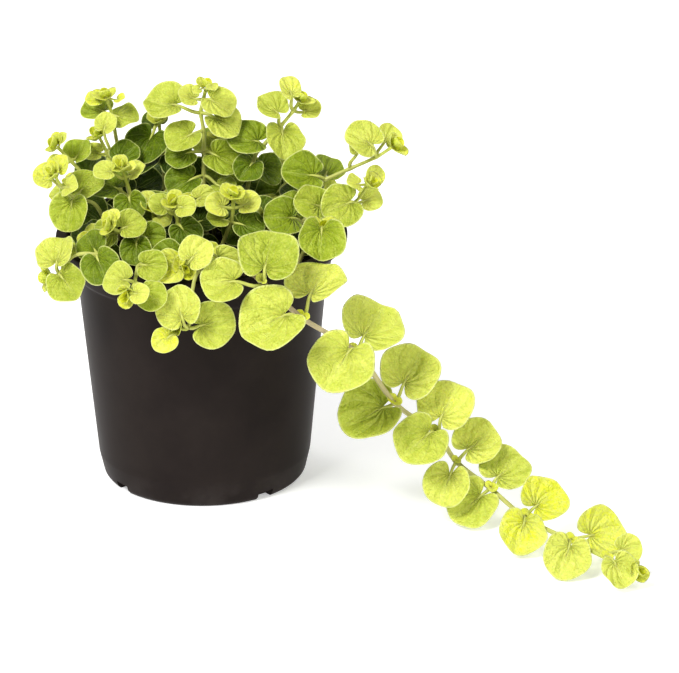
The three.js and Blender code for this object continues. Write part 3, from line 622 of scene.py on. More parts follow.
class Placing:
    """Gives every leaf its place: the slightest of a list of moves at which it is clear of the pot, of all
    stems and of the leaves placed before it. A leaf with no room is left out."""

    SCALES = (1, 0.88, 0.76, 0.64, 0.54)
    TURNS = (0, 8, -8, 16, -16, 26, -26, 38, -38, 52, -52, 68, -68)
    LIFTS = (0, 1.2, 2.4, 3.6, 4.8, 6, 7.2, 9.6, -1.6, -3.2)

    def __init__(self, stems: list[Stem]) -> None:
        """Gathers the stems' guard points and places their leaves in turn.

        Args:
            stems: The stems, in the order in which their leaves find room.
        """
        self.stems = stems
        self.guards = np.vstack([stem.guards for stem in stems])
        self.owners = np.concatenate([np.full(len(stem.guards), stem.index) for stem in stems])
        self.blades: list[Blade] = []
        moves = [(scale, turn, lift) for scale in self.SCALES for turn in self.TURNS for lift in self.LIFTS]
        self.moves = sorted(moves, key=self.effort)
        for stem in stems:
            for leaf in stem.leaves:
                self.settle(stem, leaf)

    @staticmethod
    def effort(move: tuple[float, float, float]) -> float:
        """How much a move changes: 1 for a twelfth of the size, 10 degrees of turn or 4 mm of height."""
        scale, turn, lift = move
        return 12 * (1 - scale) + abs(turn) / 10 + abs(lift) / 4

    def settle(self, stem: Stem, leaf: Leaf) -> None:
        """Keeps a leaf at the slightest move that is clear.

        Args:
            stem: The stem that bears it.
            leaf: The leaf.
        """
        for move in self.moves:
            blade = stem.place(leaf, *move)
            if self.clear_of_stems(stem, blade) and self.clear_of_blades(blade):
                self.blades.append(blade)
                self.stack()
                return

    def stack(self) -> None:
        """Stacks the placed blades' values, so that a new one is held against all of them at once."""
        self.plane = Plane.stacked([blade.plane for blade in self.blades])
        self.points = np.array([blade.points for blade in self.blades])
        self.stalks = np.array([blade.stalk for blade in self.blades])
        self.pairs = np.array([(blade.stem, blade.leaf.pair) for blade in self.blades])
        self.bearings = np.array([blade.bearing for blade in self.blades])

    def clear_of_stems(self, stem: Stem, blade: Blade) -> bool:
        """Whether a blade lies well, clear of the pot and of every stem's guard points.

        Args:
            stem: The stem that bears it.
            blade: The blade.

        Returns:
            True when it does.
        """
        if not clear_of_pot(np.vstack([blade.points, blade.stalk])):
            return False
        run = unit(blade.stalk[-1] - blade.stalk[0])
        if run @ blade.plane.along < MIN_ALONG or abs(run @ stem.line.tangent[blade.leaf.joint]) > MAX_SLANT:
            return False
        away = np.linalg.norm(self.guards - stem.line.at[blade.leaf.joint], axis=1)
        own = self.owners == stem.index
        near = np.where(own, away >= JOINT_REACH, away <= GUARD_RANGE)
        if (blade.plane.gap(self.guards[near]) < STEM_GAP).any():
            return False
        others = self.guards[near & ~own]
        return not (np.linalg.norm(blade.stalk[:, None] - others, axis=-1) < STALK_TO_STEM).any()

    def clear_of_blades(self, blade: Blade) -> bool:
        """Whether a blade and its stalk are clear of the blades and stalks already placed.

        Args:
            blade: The blade.

        Returns:
            True when they are.
        """
        if not self.blades:
            return True
        twin = (self.pairs == (blade.stem, blade.leaf.pair)).all(axis=1)
        gap = np.where(twin, PAIR_GAP, LEAF_GAP)
        apart = np.linalg.norm(self.plane.centre - blade.plane.centre, axis=1)
        near = apart <= 2.4 * (self.plane.radius + blade.plane.radius) + gap
        if (np.cos(blade.bearing - self.bearings[near & twin]) > MAX_TWIN).any():
            return False
        rows = self.plane.chosen(near)
        gap, other = gap[near][:, None], ~twin[near]
        if (rows.gap(blade.points[None]) < gap).any() or (blade.plane.gap(self.points[near]) < gap).any():
            return False
        stalks = self.stalks[near][other]
        if (rows.gap(blade.stalk[None])[other] < LEAF_GAP).any():
            return False
        if (blade.plane.gap(stalks) < LEAF_GAP).any():
            return False
        return not (np.linalg.norm(stalks[:, :, None] - blade.stalk, axis=-1) < STALK_TO_STALK).any()


def placed(name: str, data: bpy.types.ID) -> bpy.types.Object:
    """A new object in the scene."""
    thing = bpy.data.objects.new(name, data)
    bpy.context.scene.collection.objects.link(thing)
    return thing


class Parts:
    """Grids of one piece, gathered as whole arrays. Each grid runs from a pole over rings to another pole, so
    that it is closed, and its rings turn the way that makes its faces point outwards."""

    def __init__(self) -> None:
        """Starts with nothing."""
        self.points: list[Array] = []
        self.quads: list[Array] = []
        self.fans: list[Array] = []
        self.maps: list[Array] = []
        self.kinds: list[tuple[int, int, int]] = []
        self.values: list[dict[str, Array | float]] = []
        self.totals: list[int] = []

    def grid(self, rings: Array, start: Array, end: Array, kind: int = 0, leaf_map: Array | None = None,
             **values: Array | float) -> None:
        """Adds a closed grid.

        Args:
            rings: Points in rings, as an array of rings by sides by 3.
            start: The pole before the first ring.
            end: The pole after the last one.
            kind: The number of its material.
            leaf_map: Its map across and along a leaf, for the start, the rings and the end.
            values: Values for the start, the rings and the end, or one value for all.
        """
        turns, sides = rings.shape[:2]
        total = turns * sides + 2
        count = sum(self.totals)
        index = count + 1 + np.arange(turns * sides).reshape(turns, sides)
        after = np.roll(index, -1, axis=1)
        quads = np.stack([index[:-1], after[:-1], after[1:], index[1:]], axis=-1).reshape(-1, 4)
        first = np.stack([np.full(sides, count), after[0], index[0]], axis=-1)
        last = np.stack([index[-1], after[-1], np.full(sides, count + total - 1)], axis=-1)
        self.points.append(np.vstack([start, rings.reshape(-1, 3), end]))
        self.quads.append(quads)
        self.fans.append(np.vstack([first, last]))
        self.kinds.append((kind, 2 * sides, len(quads)))
        self.maps.append(np.full((total, 2), 0.5) if leaf_map is None else leaf_map)
        self.values.append(values)
        self.totals.append(total)

    def piece(self, name: str, materials: list[bpy.types.Material]) -> bpy.types.Object:
        """Makes the gathered grids one mesh object, smooth all over.

        Args:
            name: The object's name.
            materials: Its materials, in the order of their numbers.

        Returns:
            The object, in the scene.
        """
        mesh = bpy.data.meshes.new(name)
        points, fans, quads = np.vstack(self.points), np.vstack(self.fans), np.vstack(self.quads)
        corners = np.concatenate([fans.ravel(), quads.ravel()])
        starts = np.concatenate([3 * np.arange(len(fans)), fans.size + 4 * np.arange(len(quads))])
        kind, fan_count, quad_count = np.array(self.kinds).T
        kinds = np.concatenate([np.repeat(kind, fan_count), np.repeat(kind, quad_count)])
        mesh.vertices.add(len(points))
        mesh.vertices.foreach_set("co", (points * MM).astype(np.float32).ravel())
        mesh.loops.add(len(corners))
        mesh.loops.foreach_set("vertex_index", corners.astype(np.int32))
        mesh.polygons.add(len(starts))
        mesh.polygons.foreach_set("loop_start", starts.astype(np.int32))
        mesh.polygons.foreach_set("material_index", kinds.astype(np.int32))
        mesh.polygons.foreach_set("use_smooth", np.ones(len(starts), bool))
        mesh.uv_layers.new(name="leaf_map").data.foreach_set(
            "uv", np.vstack(self.maps)[corners].astype(np.float32).ravel())
        for label in sorted({label for values in self.values for label in values}):
            held = [np.broadcast_to(values.get(label, 0.0), (total,))
                    for values, total in zip(self.values, self.totals)]
            layer = mesh.attributes.new(label, "FLOAT", "POINT")
            layer.data.foreach_set("value", np.concatenate(held).astype(np.float32))
        mesh.update(calc_edges=True)
        mesh.validate()
        for material in materials:
            mesh.materials.append(material)
        return placed(name, mesh)


def keep(piece: bpy.types.Object, slot: Slot, *nodes: str) -> bpy.types.Object:
    """Lets a piece ride with the plant and stand for its CAD nodes.

    Args:
        piece: The piece.
        slot: The record's material slot; not used.
        nodes: The nodes that it stands for.

    Returns:
        The piece.
    """
    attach(piece, "root")
    if nodes:
        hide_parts(*nodes)
    mesh = piece.data
    log.info("%s: %d points, %d faces", piece.name, len(mesh.vertices), len(mesh.polygons))
    return piece


def tube(line: Line, radius: Array, sides: int, squareness: float = 0.0) -> Array:
    """Rings of a stalk: at each point of the line a ring of the given radius, whose radius swells by
    squareness times the cosine of four turns, which gives it four blunt edges.

    Args:
        line: The centre line.
        radius: The radius at each of its points.
        sides: How many sides the tube has.
        squareness: How far the edges stand out, as a share of the radius.

    Returns:
        The rings.
    """
    angle = round_angles(sides)
    swell = 1 + squareness * np.cos(4 * angle)
    spoke = line.side[:, None] * np.cos(angle)[:, None] - line.ahead[:, None] * np.sin(angle)[:, None]
    return line.at[:, None] + spoke * (radius[:, None] * swell)[..., None]


class Sprig:
    """The fine piece of one leafy stem: a four-edged stalk that swells at its joints, round leaves on short
    stalks, and folded young leaves at the tip."""

    LEAF_RINGS = np.array([0.13, 0.27, 0.4, 0.53, 0.65, 0.76, 0.86, 0.93, 0.975, 1.0])
    BUD_RINGS = np.array([0.3, 0.6, 0.85, 1.0])
    LEAF_SIDES = 48
    BUD_SIDES = 20
    LEAF_MIDDLE = 0.5
    BUD_MIDDLE = 0.34
    STALK_SIDES = 8
    STEM_SIDES = 12
    NOTCH_PULL = 0.16
    QUILT = 0.046
    RIBS = 3.9
    RIPPLE = 0.075
    FULL_SIZE = 9.0
    EDGE_WAVE = 0.022
    BUD_PAIRS = ((3.5, 62, 0.1), (2.4, 26, 1.0))
    BUD_TO_LIGHT = 0.9
    BUD_TONES = (0.06, 0.0)
    MOUND_STEM = 0.82
    MOUND_AGE = 0.55
    YOUNGER_ABOVE = 0.7
    TONE_SPREAD = 0.24
    HEEL = 0.6
    STALK_WIDTHS = (0.8, 0.58)
    RIB_PLACES = (-0.3, -0.1, 0.15, 0.4)
    RIB_WIDTHS = (0.5, 0.4, 0.28, 0.14)
    RIB_DEPTH = 0.22
    JOINT_SWELL = 0.32
    JOINT_LENGTH = 1.5
    SHOOT_TONE = 0.06

    def __init__(self, stem: Stem, blades: list[Blade], shade: float) -> None:
        """Keeps what the piece is made from.

        Args:
            stem: The stem.
            blades: Its placed blades.
            shade: How dark its lowest leaves are: 1 is the darkest green, and above that more of its pairs
                are as dark.
        """
        self.stem = stem
        self.blades = blades
        self.joints = sorted({blade.leaf.joint for blade in blades})
        self.shade = shade
        self.parts = Parts()

    def tone(self, leaf: Leaf) -> float:
        """How dark a leaf is: young ones are the yellowest, and lower pairs are greener.

        Args:
            leaf: The leaf.

        Returns:
            Its tone, from 0 to 1.
        """
        pairs = max(len(self.stem.spec.leaves), self.stem.spec.pairs + 1)
        grown = 1 - self.YOUNGER_ABOVE * leaf.pair / max(pairs - 1, 1)
        spread = self.TONE_SPREAD * (draw(self.stem.index, leaf.pair, leaf.side, Salt.TONE) - 0.5)
        young = 0.5 if leaf.length < YOUNG_LENGTH else 1.0
        return min(max(self.shade * grown * young + spread, 0.0), 1.0)

    def blade(self, plane: Plane, tone: float, seed: float, bud: bool = False) -> None:
        """Adds a blade: rings over its face from the middle to the edge and back under it. A ring's place is
        its share of the outline, whose radius also waves by EDGE_WAVE times sines of five and three turns.
        The face puffs up between ribs that fan out from the stalk's end: by QUILT times the root of 0.05
        and the squared sine of RIBS turns or a few more, times the way from that end. The edge ripples up
        and down by RIPPLE times sines of three and five turns. The blade's thickness thins to nothing at the
        edge as the root of 1 less the share to the sixth.

        Args:
            plane: Where the blade lies.
            tone: How dark it is.
            seed: A draw from 0 to 1 that shifts its waves.
            bud: Whether it is a small folded leaf of a bud.
        """
        shares = (self.BUD_RINGS if bud else self.LEAF_RINGS)[:, None]
        sides = self.BUD_SIDES if bud else self.LEAF_SIDES
        turn = (2 * np.arange(sides) + 1) / sides - 1
        angle = math.pi * (turn + self.NOTCH_PULL * np.sin(math.pi * turn))
        shift = 2 * math.pi * seed
        wave = np.sin(5 * angle + shift) + 0.8 * np.sin(3 * angle - 2 * shift)
        outline = full_outline(angle) * (1 + self.EDGE_WAVE * wave * (1 - (angle / math.pi) ** 6))
        across, along = shares * outline * np.sin(angle), shares * outline * np.cos(angle)
        about = np.arctan2(across, along + self.HEEL)
        way = np.hypot(across, along + self.HEEL)
        fan = (self.RIBS + 1.4 * seed) * about + 0.5 * (np.sin(2 * about + shift) - math.sin(shift))
        puff = np.sqrt(np.sin(fan) ** 2 + 0.05) - 0.65
        radius = float(plane.radius)
        quilt = self.QUILT * radius * puff * way * np.minimum(way, 1)
        ripple = np.sin(3 * angle + 2 * shift) + 0.6 * np.sin(5 * angle - shift)
        quilt = quilt + self.RIPPLE * radius * (shares * way / (1 + self.HEEL)) ** 2 * ripple
        half = 0.5 * (self.BUD_MIDDLE if bud else self.LEAF_MIDDLE) * np.sqrt(np.clip(1 - shares**6, 0, 1))
        face = plane.point(across, along, quilt + half)
        under = plane.point(across, along, quilt - half)
        rings = np.concatenate([face, under[-2::-1]])
        middle = np.float64(0.0)
        level = -0.56 * self.QUILT * radius * 0.36
        start = plane.point(middle, middle, level + 0.5 * self.LEAF_MIDDLE)
        end = plane.point(middle, middle, level - 0.5 * self.LEAF_MIDDLE)
        places = 0.5 + 0.4 * np.stack([across, along], axis=-1)
        places = np.concatenate([places, places[-2::-1]]).reshape(-1, 2)
        edge = np.broadcast_to(shares, across.shape)
        edge = np.concatenate([edge, edge[-2::-1]]).ravel()
        below = np.concatenate([np.zeros(across.size), np.ones(across.size - sides)])
        self.parts.grid(rings, start, end, 0, np.vstack([[0.5, 0.5], places, [0.5, 0.5]]),
                        tone=tone, seed=seed, size=min(radius / self.FULL_SIZE, 1.0),
                        edge=np.concatenate([[0], edge, [0]]), under=np.concatenate([[0], below, [1]]))

    def stalk(self, blade: Blade) -> None:
        """Adds a leaf's stalk and the rib that it becomes under the blade: a cubic from the joint, leaving
        square to the stem, to the blade's notch, arriving along the blade, then on along its underside.

        Args:
            blade: The leaf's blade.
        """
        plane = blade.plane
        at = self.stem.line.at[blade.leaf.joint]
        run = self.stem.line.tangent[blade.leaf.joint]
        end = plane.point(np.float64(0), np.float64(STALK_END), -0.1)
        way = end - at
        leave = unit(way - run * (way @ run)) * 0.4 * np.linalg.norm(way)
        arrive = plane.along * 0.4 * np.linalg.norm(way)
        t = np.linspace(0, 1, 7)[:, None]
        path = (at * (1 - t) ** 3 + (at + leave) * 3 * t * (1 - t) ** 2 + (end - arrive) * 3 * t**2 * (1 - t)
                + end * t**3)
        rib = plane.point(np.zeros(len(self.RIB_PLACES)), np.array(self.RIB_PLACES), -self.RIB_DEPTH)
        line = Line.through(np.vstack([path, rib]))
        widths = np.concatenate([np.linspace(*self.STALK_WIDTHS, len(path)), self.RIB_WIDTHS])
        rings = tube(line, widths * min(1, float(plane.radius) / 5), self.STALK_SIDES)
        self.parts.grid(rings, at, line.at[-1], 1, tone=self.tone(blade.leaf), seed=0.5, edge=0, under=0,
                        age=np.concatenate([[0.3], np.full(rings[..., 0].size, 0.12), [0.1]]))

    def stem_tube(self) -> None:
        """Adds the stem: radius from its foot to its tip, with a swelling at each joint that falls off as the
        bell curve of the way from it."""
        stem = self.stem
        steps = 4 if stem.spec.leaves else 1
        last = len(stem.shares) - 1
        fine = np.interp(np.arange(steps * last + 1) / steps, np.arange(last + 1), stem.shares)
        line = Line.through(stem.curve.at(fine))
        length = travelled(line.at)
        joints = np.array(self.joints, int)
        off = (length[:, None] - length[joints * steps]) / self.JOINT_LENGTH
        swell = self.JOINT_SWELL * np.exp(-(off**2)).sum(axis=1)
        share = length / length[-1]
        radius = STEM_RADIUS * (0.95 - 0.3 * share**2) + swell * (1 - 0.4 * share)
        radius *= 1.0 if stem.spec.trails else self.MOUND_STEM
        rings = tube(line, radius, self.STEM_SIDES, squareness=0.06)
        age = np.repeat(1 - share, self.STEM_SIDES) * (1.0 if stem.spec.trails else self.MOUND_AGE)
        self.parts.grid(rings, line.at[0], line.at[-1] + line.tangent[-1] * 0.5, 1, tone=0.5, seed=0.5,
                        edge=0, under=0, age=np.concatenate([[1], age, [0]]))

    def bud(self) -> None:
        """Adds the tip's young leaves: two pairs, a quarter turn apart, that open toward the light, the inner
        one nearly closed."""
        line, index = self.stem.line, self.stem.index
        tip, run = line.at[-1], unit(line.tangent[-1] + self.BUD_TO_LIGHT * self.stem.light)
        side = unit(line.side[-1] - run * (line.side[-1] @ run))
        ahead = np.cross(run, side)
        spin = math.pi * draw(index, Salt.BUD_SPIN)
        for pair, (radius, opening, off) in enumerate(self.BUD_PAIRS):
            for half in (0, 1):
                turn = spin + math.pi * half + 0.5 * math.pi * pair
                outward = side * math.cos(turn) + ahead * math.sin(turn)
                lean = math.radians(opening + 14 * (draw(index, pair, half, Salt.BUD_LEAN) - 0.5))
                size = radius * (0.88 + 0.24 * draw(index, pair, half, Salt.BUD_SIZE))
                along = run * math.cos(lean) + outward * math.sin(lean)
                up = run * math.sin(lean) - outward * math.cos(lean)
                form = np.array([0.2, 0.28, -0.12, 0.05, 6 * draw(index, pair, half, Salt.BUD_PHASE)])
                centre = tip + run * off + outward * 0.3 + along * size * 0.72
                plane = Plane.facing(centre, along, up, size, form)
                self.blade(plane, self.BUD_TONES[pair], draw(index, pair, half, Salt.BUD_SEED), bud=True)

    def axil_shoots(self) -> None:
        """Adds a pair of tiny leaves on each joint, one up and one down the stem, facing the light."""
        stem, index = self.stem, self.stem.index
        for joint in self.joints:
            at, run = stem.line.at[joint], stem.line.tangent[joint]
            forward = unit(run - stem.light * (run @ stem.light))
            for half in (0, 1):
                radius = 1.2 + 0.9 * draw(index, joint, half, Salt.SHOOT_SIZE)
                aside = 0.5 * stem.rightward * (draw(index, joint, half, Salt.SHOOT_TURN) - 0.5)
                outward = unit(forward * (1 - 2 * half) + aside)
                up = unit(stem.light - 0.3 * outward)
                along = unit(outward - up * (outward @ up))
                form = np.array([0.3, 0.25, 0, 0.05, 6 * draw(index, joint, half, Salt.SHOOT_PHASE)])
                centre = at + stem.light * (STEM_RADIUS + 0.5) + along * radius * 0.8
                plane = Plane.facing(centre, along, up, radius, form)
                self.blade(plane, self.SHOOT_TONE, draw(index, joint, half, Salt.SHOOT_SEED), bud=True)

    def build(self, leaf: bpy.types.Material, bark: bpy.types.Material) -> bpy.types.Object:
        """Makes the piece.

        Args:
            leaf: The leaves' material.
            bark: The stem's material.

        Returns:
            The piece, which stands for the stem's CAD node.
        """
        self.stem_tube()
        for blade in self.blades:
            key = (self.stem.index, blade.leaf.pair, blade.leaf.side)
            self.blade(blade.plane, self.tone(blade.leaf), draw(*key, Salt.LEAF_SEED))
            self.stalk(blade)
        self.bud()
        if self.stem.spec.trails:
            self.axil_shoots()
        name = self.stem.spec.name
        return keep(self.parts.piece(name.replace("stem", "sprig"), [leaf, bark]), Slot.FOLIAGE, name)


def rounded(corners: Array, cut: float, steps: int) -> Array:
    """A profile with its corners rounded: each corner between two straight runs becomes a bend that starts
    and ends a cut from it, as the square blend of the three points.

    Args:
        corners: The profile's corners as radius and height.
        cut: How far from a corner its bend starts, at most 0.4 of the run.
        steps: How many points each bend has.

    Returns:
        The rounded profile, with its first and last point as they were.
    """
    before, corner, after = corners[:-2], corners[1:-1], corners[2:]
    back, on = before - corner, after - corner
    back_length, on_length = (np.linalg.norm(way, axis=1, keepdims=True) for way in (back, on))
    first = corner + back / back_length * np.minimum(cut, 0.4 * back_length)
    last = corner + on / on_length * np.minimum(cut, 0.4 * on_length)
    t = np.linspace(0, 1, steps)[:, None, None]
    bends = first * (1 - t) ** 2 + corner * 2 * t * (1 - t) + last * t**2
    return np.vstack([corners[:1], bends.transpose(1, 0, 2).reshape(-1, 2), corners[-1:]])


@dataclass(frozen=True)
class Pot:
    """Thin moulded nursery pot: chamfered foot, step, flared collar and turned-down lip, with a shallow ring
    under its floor and drain slots at the foot's corner."""

    sides: int = 180
    cut: float = 0.6
    bend_steps: int = 4
    warp: float = 0.15

    def profile(self) -> Array:
        """Corners from the middle of the underside, round the lip, to the middle of the floor inside.

        Returns:
            The corners as radius and height.
        """
        inner = RIM_RADIUS - LIP_WIDTH
        return np.array([
            [0, 0], [14, 0], [15, 0.7], [29, 0.7], [30, 0], [FOOT_RADIUS - 1.4, 0], [FOOT_RADIUS, 1.6],
            [SHOULDER_RADIUS, SHOULDER_HEIGHT],
            [STEP_RADIUS, STEP_HEIGHT], [STEP_RADIUS + 1, STEP_HEIGHT + 1.2],
            [COLLAR_RADIUS, POT_HEIGHT - 1.6], [RIM_RADIUS - 1.6, POT_HEIGHT - 1.7],
            [RIM_RADIUS - 1.4, POT_HEIGHT - 3], [RIM_RADIUS, POT_HEIGHT - 2.8], [RIM_RADIUS, POT_HEIGHT],
            [inner, POT_HEIGHT],
            [STEP_RADIUS + 1 - WALL, STEP_HEIGHT + 1.6], [STEP_RADIUS - WALL, STEP_HEIGHT + 0.4],
            [SHOULDER_RADIUS - WALL, SHOULDER_HEIGHT + 0.3], [FOOT_RADIUS - WALL, FLOOR_THICKNESS],
            [0, FLOOR_THICKNESS],
        ])

    def wall(self) -> Parts:
        """The pot turned about Z: each profile point goes round a circle, which a thin wall's warp swells by
        the sine of two turns, more so with height.

        Returns:
            The turned grid.
        """
        profile = rounded(self.profile(), self.cut, self.bend_steps)
        angle = round_angles(self.sides)
        radius, height = profile[1:-1, 0, None], profile[1:-1, 1, None]
        swell = self.warp * height / POT_HEIGHT * np.sin(2 * angle + 0.7) - self.warp
        around = (radius + swell * (radius > FOOT_RADIUS - 3)) * np.ones(self.sides)
        level = height * np.ones(self.sides)
        rings = np.stack([around * np.cos(angle), around * np.sin(angle), level], axis=-1)
        parts = Parts()
        parts.grid(rings, np.array([0, 0, profile[0, 1]]), np.array([0, 0, profile[-1, 1]]))
        return parts

    def slots(self) -> Parts:
        """Blocks that cut the drain slots: each runs out through the foot's corner.

        Returns:
            The blocks.
        """
        parts = Parts()
        corners = np.array([[-1, -1], [1, -1], [1, 1], [-1, 1]]) * [DRAIN_WIDTH / 2, DRAIN_HEIGHT]
        for turn in DRAIN_TURNS:
            angle = math.radians(turn - 90)
            out = np.array([math.cos(angle), math.sin(angle), 0.0])
            over = np.array([-math.sin(angle), math.cos(angle), 0.0])
            square = corners[:, :1] * over + corners[:, 1:] * np.array([0.0, 0.0, 1.0])
            ends = [out * (FOOT_RADIUS - 5), out * (FOOT_RADIUS + 5)]
            parts.grid(np.array([square + end for end in ends]), *ends)
        return parts

    def build(self, plastic: bpy.types.Material) -> bpy.types.Object:
        """Makes the pot, cuts its slots and leaves its sharp edges sharp.

        Args:
            plastic: The pot's material.

        Returns:
            The piece, which stands for the pot's CAD node.
        """
        piece = self.wall().piece("nursery_pot", [plastic])
        block = self.slots().piece("drain_slots", [])
        cutter = piece.modifiers.new("drain_slots", "BOOLEAN")
        cutter.object = block
        cutter.solver = "EXACT"
        seen = bpy.context.evaluated_depsgraph_get()
        mesh = bpy.data.meshes.new_from_object(piece.evaluated_get(seen))
        piece.modifiers.clear()
        piece.data = mesh
        bpy.data.objects.remove(block)
        mesh.set_sharp_from_angle(angle=math.radians(40))
        return keep(piece, Slot.POT, "pot")


def lattice_draw(cells: Array, salt: int) -> Array:
    """Draws from 0 to 1 for whole-number cells: the part after the point of a large sine of their sum."""
    mixed = np.sin(cells[..., 0] * 127.1 + cells[..., 1] * 311.7 + salt * 74.7) * 43758.5453
    return mixed - np.floor(mixed)


def clods(x: Array, y: Array, pitch: float, salt: int) -> Array:
    """Height of a bed of round clods: in each cell of a grid a clod sits off the middle by draws, and the
    height is the largest of the roots of 1 less the square of the way to each near clod over its size.

    Args:
        x: Places across.
        y: Places along.
        pitch: How far the cells are apart, in millimetres.
        salt: A whole number that changes the draws.

    Returns:
        Heights from 0 to 1.
    """
    place = np.stack([x, y], axis=-1) / pitch
    home = np.floor(place)
    best = np.zeros(x.shape)
    for step in np.ndindex(3, 3):
        cell = home + np.array(step) - 1
        middle = cell + np.stack([lattice_draw(cell, salt), lattice_draw(cell, salt + 1)], axis=-1)
        size = 0.45 + 0.4 * lattice_draw(cell, salt + 2)
        off = np.linalg.norm(place - middle, axis=-1) / size
        best = np.maximum(best, size * np.sqrt(np.clip(1 - off**2, 0, 1)))
    return best


@dataclass(frozen=True)
class PottingMix:
    """Dark peat with clods, flecks of perlite and bits of bark, which fills the pot to under its rim."""

    sides: int = 300
    top_rings: int = 100
    coarse: float = 5.0
    fine: float = 2.1
    perlite: int = 230
    bark: int = 120
    grain_sides: int = 7
    seed: int = 11

    def top(self, x: Array, y: Array) -> Array:
        """Height of the surface: the solid's slow rise and fall, plus coarse and fine clods."""
        slow = np.sin(0.31 * x + 1) * np.cos(0.27 * y) + 0.6 * np.sin(0.7 * x - 0.5 * y)
        crumb = 1.5 * clods(x, y, self.coarse, 3) + 0.9 * clods(x, y, self.fine, 8)
        return SOIL_HEIGHT + SOIL_BUMP * slow + crumb - 1.3

    def body(self) -> Parts:
        """The mix turned about Z, up its side and in over its top, whose rings take the surface's height.

        Returns:
            The turned grid.
        """
        edge = WALL + 0.3
        side = np.array([
            [FOOT_RADIUS - edge, FLOOR_THICKNESS + 0.3], [SHOULDER_RADIUS - edge, SHOULDER_HEIGHT + 0.4],
            [STEP_RADIUS - edge, STEP_HEIGHT + 0.5], [STEP_RADIUS + 0.7 - edge, STEP_HEIGHT + 1.7],
        ])
        angle = round_angles(self.sides)
        reach = (STEP_RADIUS + 0.1) * (1 - (np.arange(self.top_rings) / self.top_rings))
        radius = np.concatenate([side[:, 0], reach])[:, None]
        x, y = radius * np.cos(angle), radius * np.sin(angle)
        up_side = np.broadcast_to(side[:, 1:], (len(side), self.sides))
        height = np.concatenate([up_side, self.top(x, y)[len(side):]])
        parts = Parts()
        middle = np.zeros(1)
        parts.grid(np.stack([x, y, height], axis=-1), np.array([0, 0, FLOOR_THICKNESS + 0.3]),
                   np.array([0, 0, float(self.top(middle, middle)[0])]))
        return parts

    def grains(self, count: int, size: tuple[float, float], flat: float, salt: int) -> Parts:
        """Loose grains half sunk in the surface: each a ball of few faces, stretched by draws along its own
        axes and dented by the sine of its own place.

        Args:
            count: How many there are.
            size: The smallest and the largest radius in millimetres.
            flat: How thick a grain is, as a share of its width.
            salt: A whole number that changes the draws.

        Returns:
            The grains.
        """
        rng = np.random.default_rng(self.seed + salt)
        parts = Parts()
        lift = np.linspace(-0.75, 0.75, 4)[:, None] * math.pi / 2
        angle = round_angles(self.grain_sides)
        ball = np.stack([np.cos(lift) * np.cos(angle), np.cos(lift) * np.sin(angle),
                         np.sin(lift) * np.ones(self.grain_sides)], axis=-1)
        poles = np.array([[0, 0, -1.0], [0, 0, 1.0]])
        for _ in range(count):
            reach = (STEP_RADIUS - 1.5) * math.sqrt(rng.random())
            turn = 2 * math.pi * rng.random()
            x, y = np.array([reach * math.cos(turn)]), np.array([reach * math.sin(turn)])
            radius = size[0] + (size[1] - size[0]) * rng.random() ** 2
            axes = np.linalg.qr(rng.normal(size=(3, 3)))[0]
            axes *= np.sign(np.linalg.det(axes))
            stretch = radius * np.array([1.0, 0.6 + 0.4 * rng.random(), flat * (0.7 + 0.5 * rng.random())])
            at = np.array([x[0], y[0], float(self.top(x, y)[0]) + 0.15 * radius])
            phase = 6 * rng.random(3)

            def shape(points: Array) -> Array:
                """The grain's place for points of the ball."""
                dent = 1 + 0.16 * np.sin(4 * points + phase).sum(-1, keepdims=True)
                return (points * dent * stretch) @ axes.T + at

            parts.grid(shape(ball), *shape(poles), tone=rng.random())
        return parts

    def build(self, peat: bpy.types.Material, white: bpy.types.Material,
              brown: bpy.types.Material) -> list[bpy.types.Object]:
        """Makes the mix and its loose grains.

        Args:
            peat: The mix's material.
            white: The perlite's material.
            brown: The bark's material.

        Returns:
            The pieces, the first of which stands for the mix's CAD node.
        """
        return [
            keep(self.body().piece("mix_bed", [peat]), Slot.MIX, "potting_mix"),
            keep(self.grains(self.perlite, (0.35, 1.3), 0.8, 1).piece("perlite_grains", [white]), Slot.MIX),
            keep(self.grains(self.bark, (0.8, 2.6), 0.3, 2).piece("bark_bits", [brown]), Slot.MIX),
        ]


def shade(red: int, green: int, blue: int) -> tuple[float, float, float, float]:
    """A screen colour, 0 to 255, as the light it stands for: the power 2.4 above a short straight toe."""
    parts = np.array([red, green, blue]) / 255
    light = np.where(parts <= 0.04045, parts / 12.92, ((parts + 0.055) / 1.055) ** 2.4)
    return (*(float(part) for part in light), 1.0)


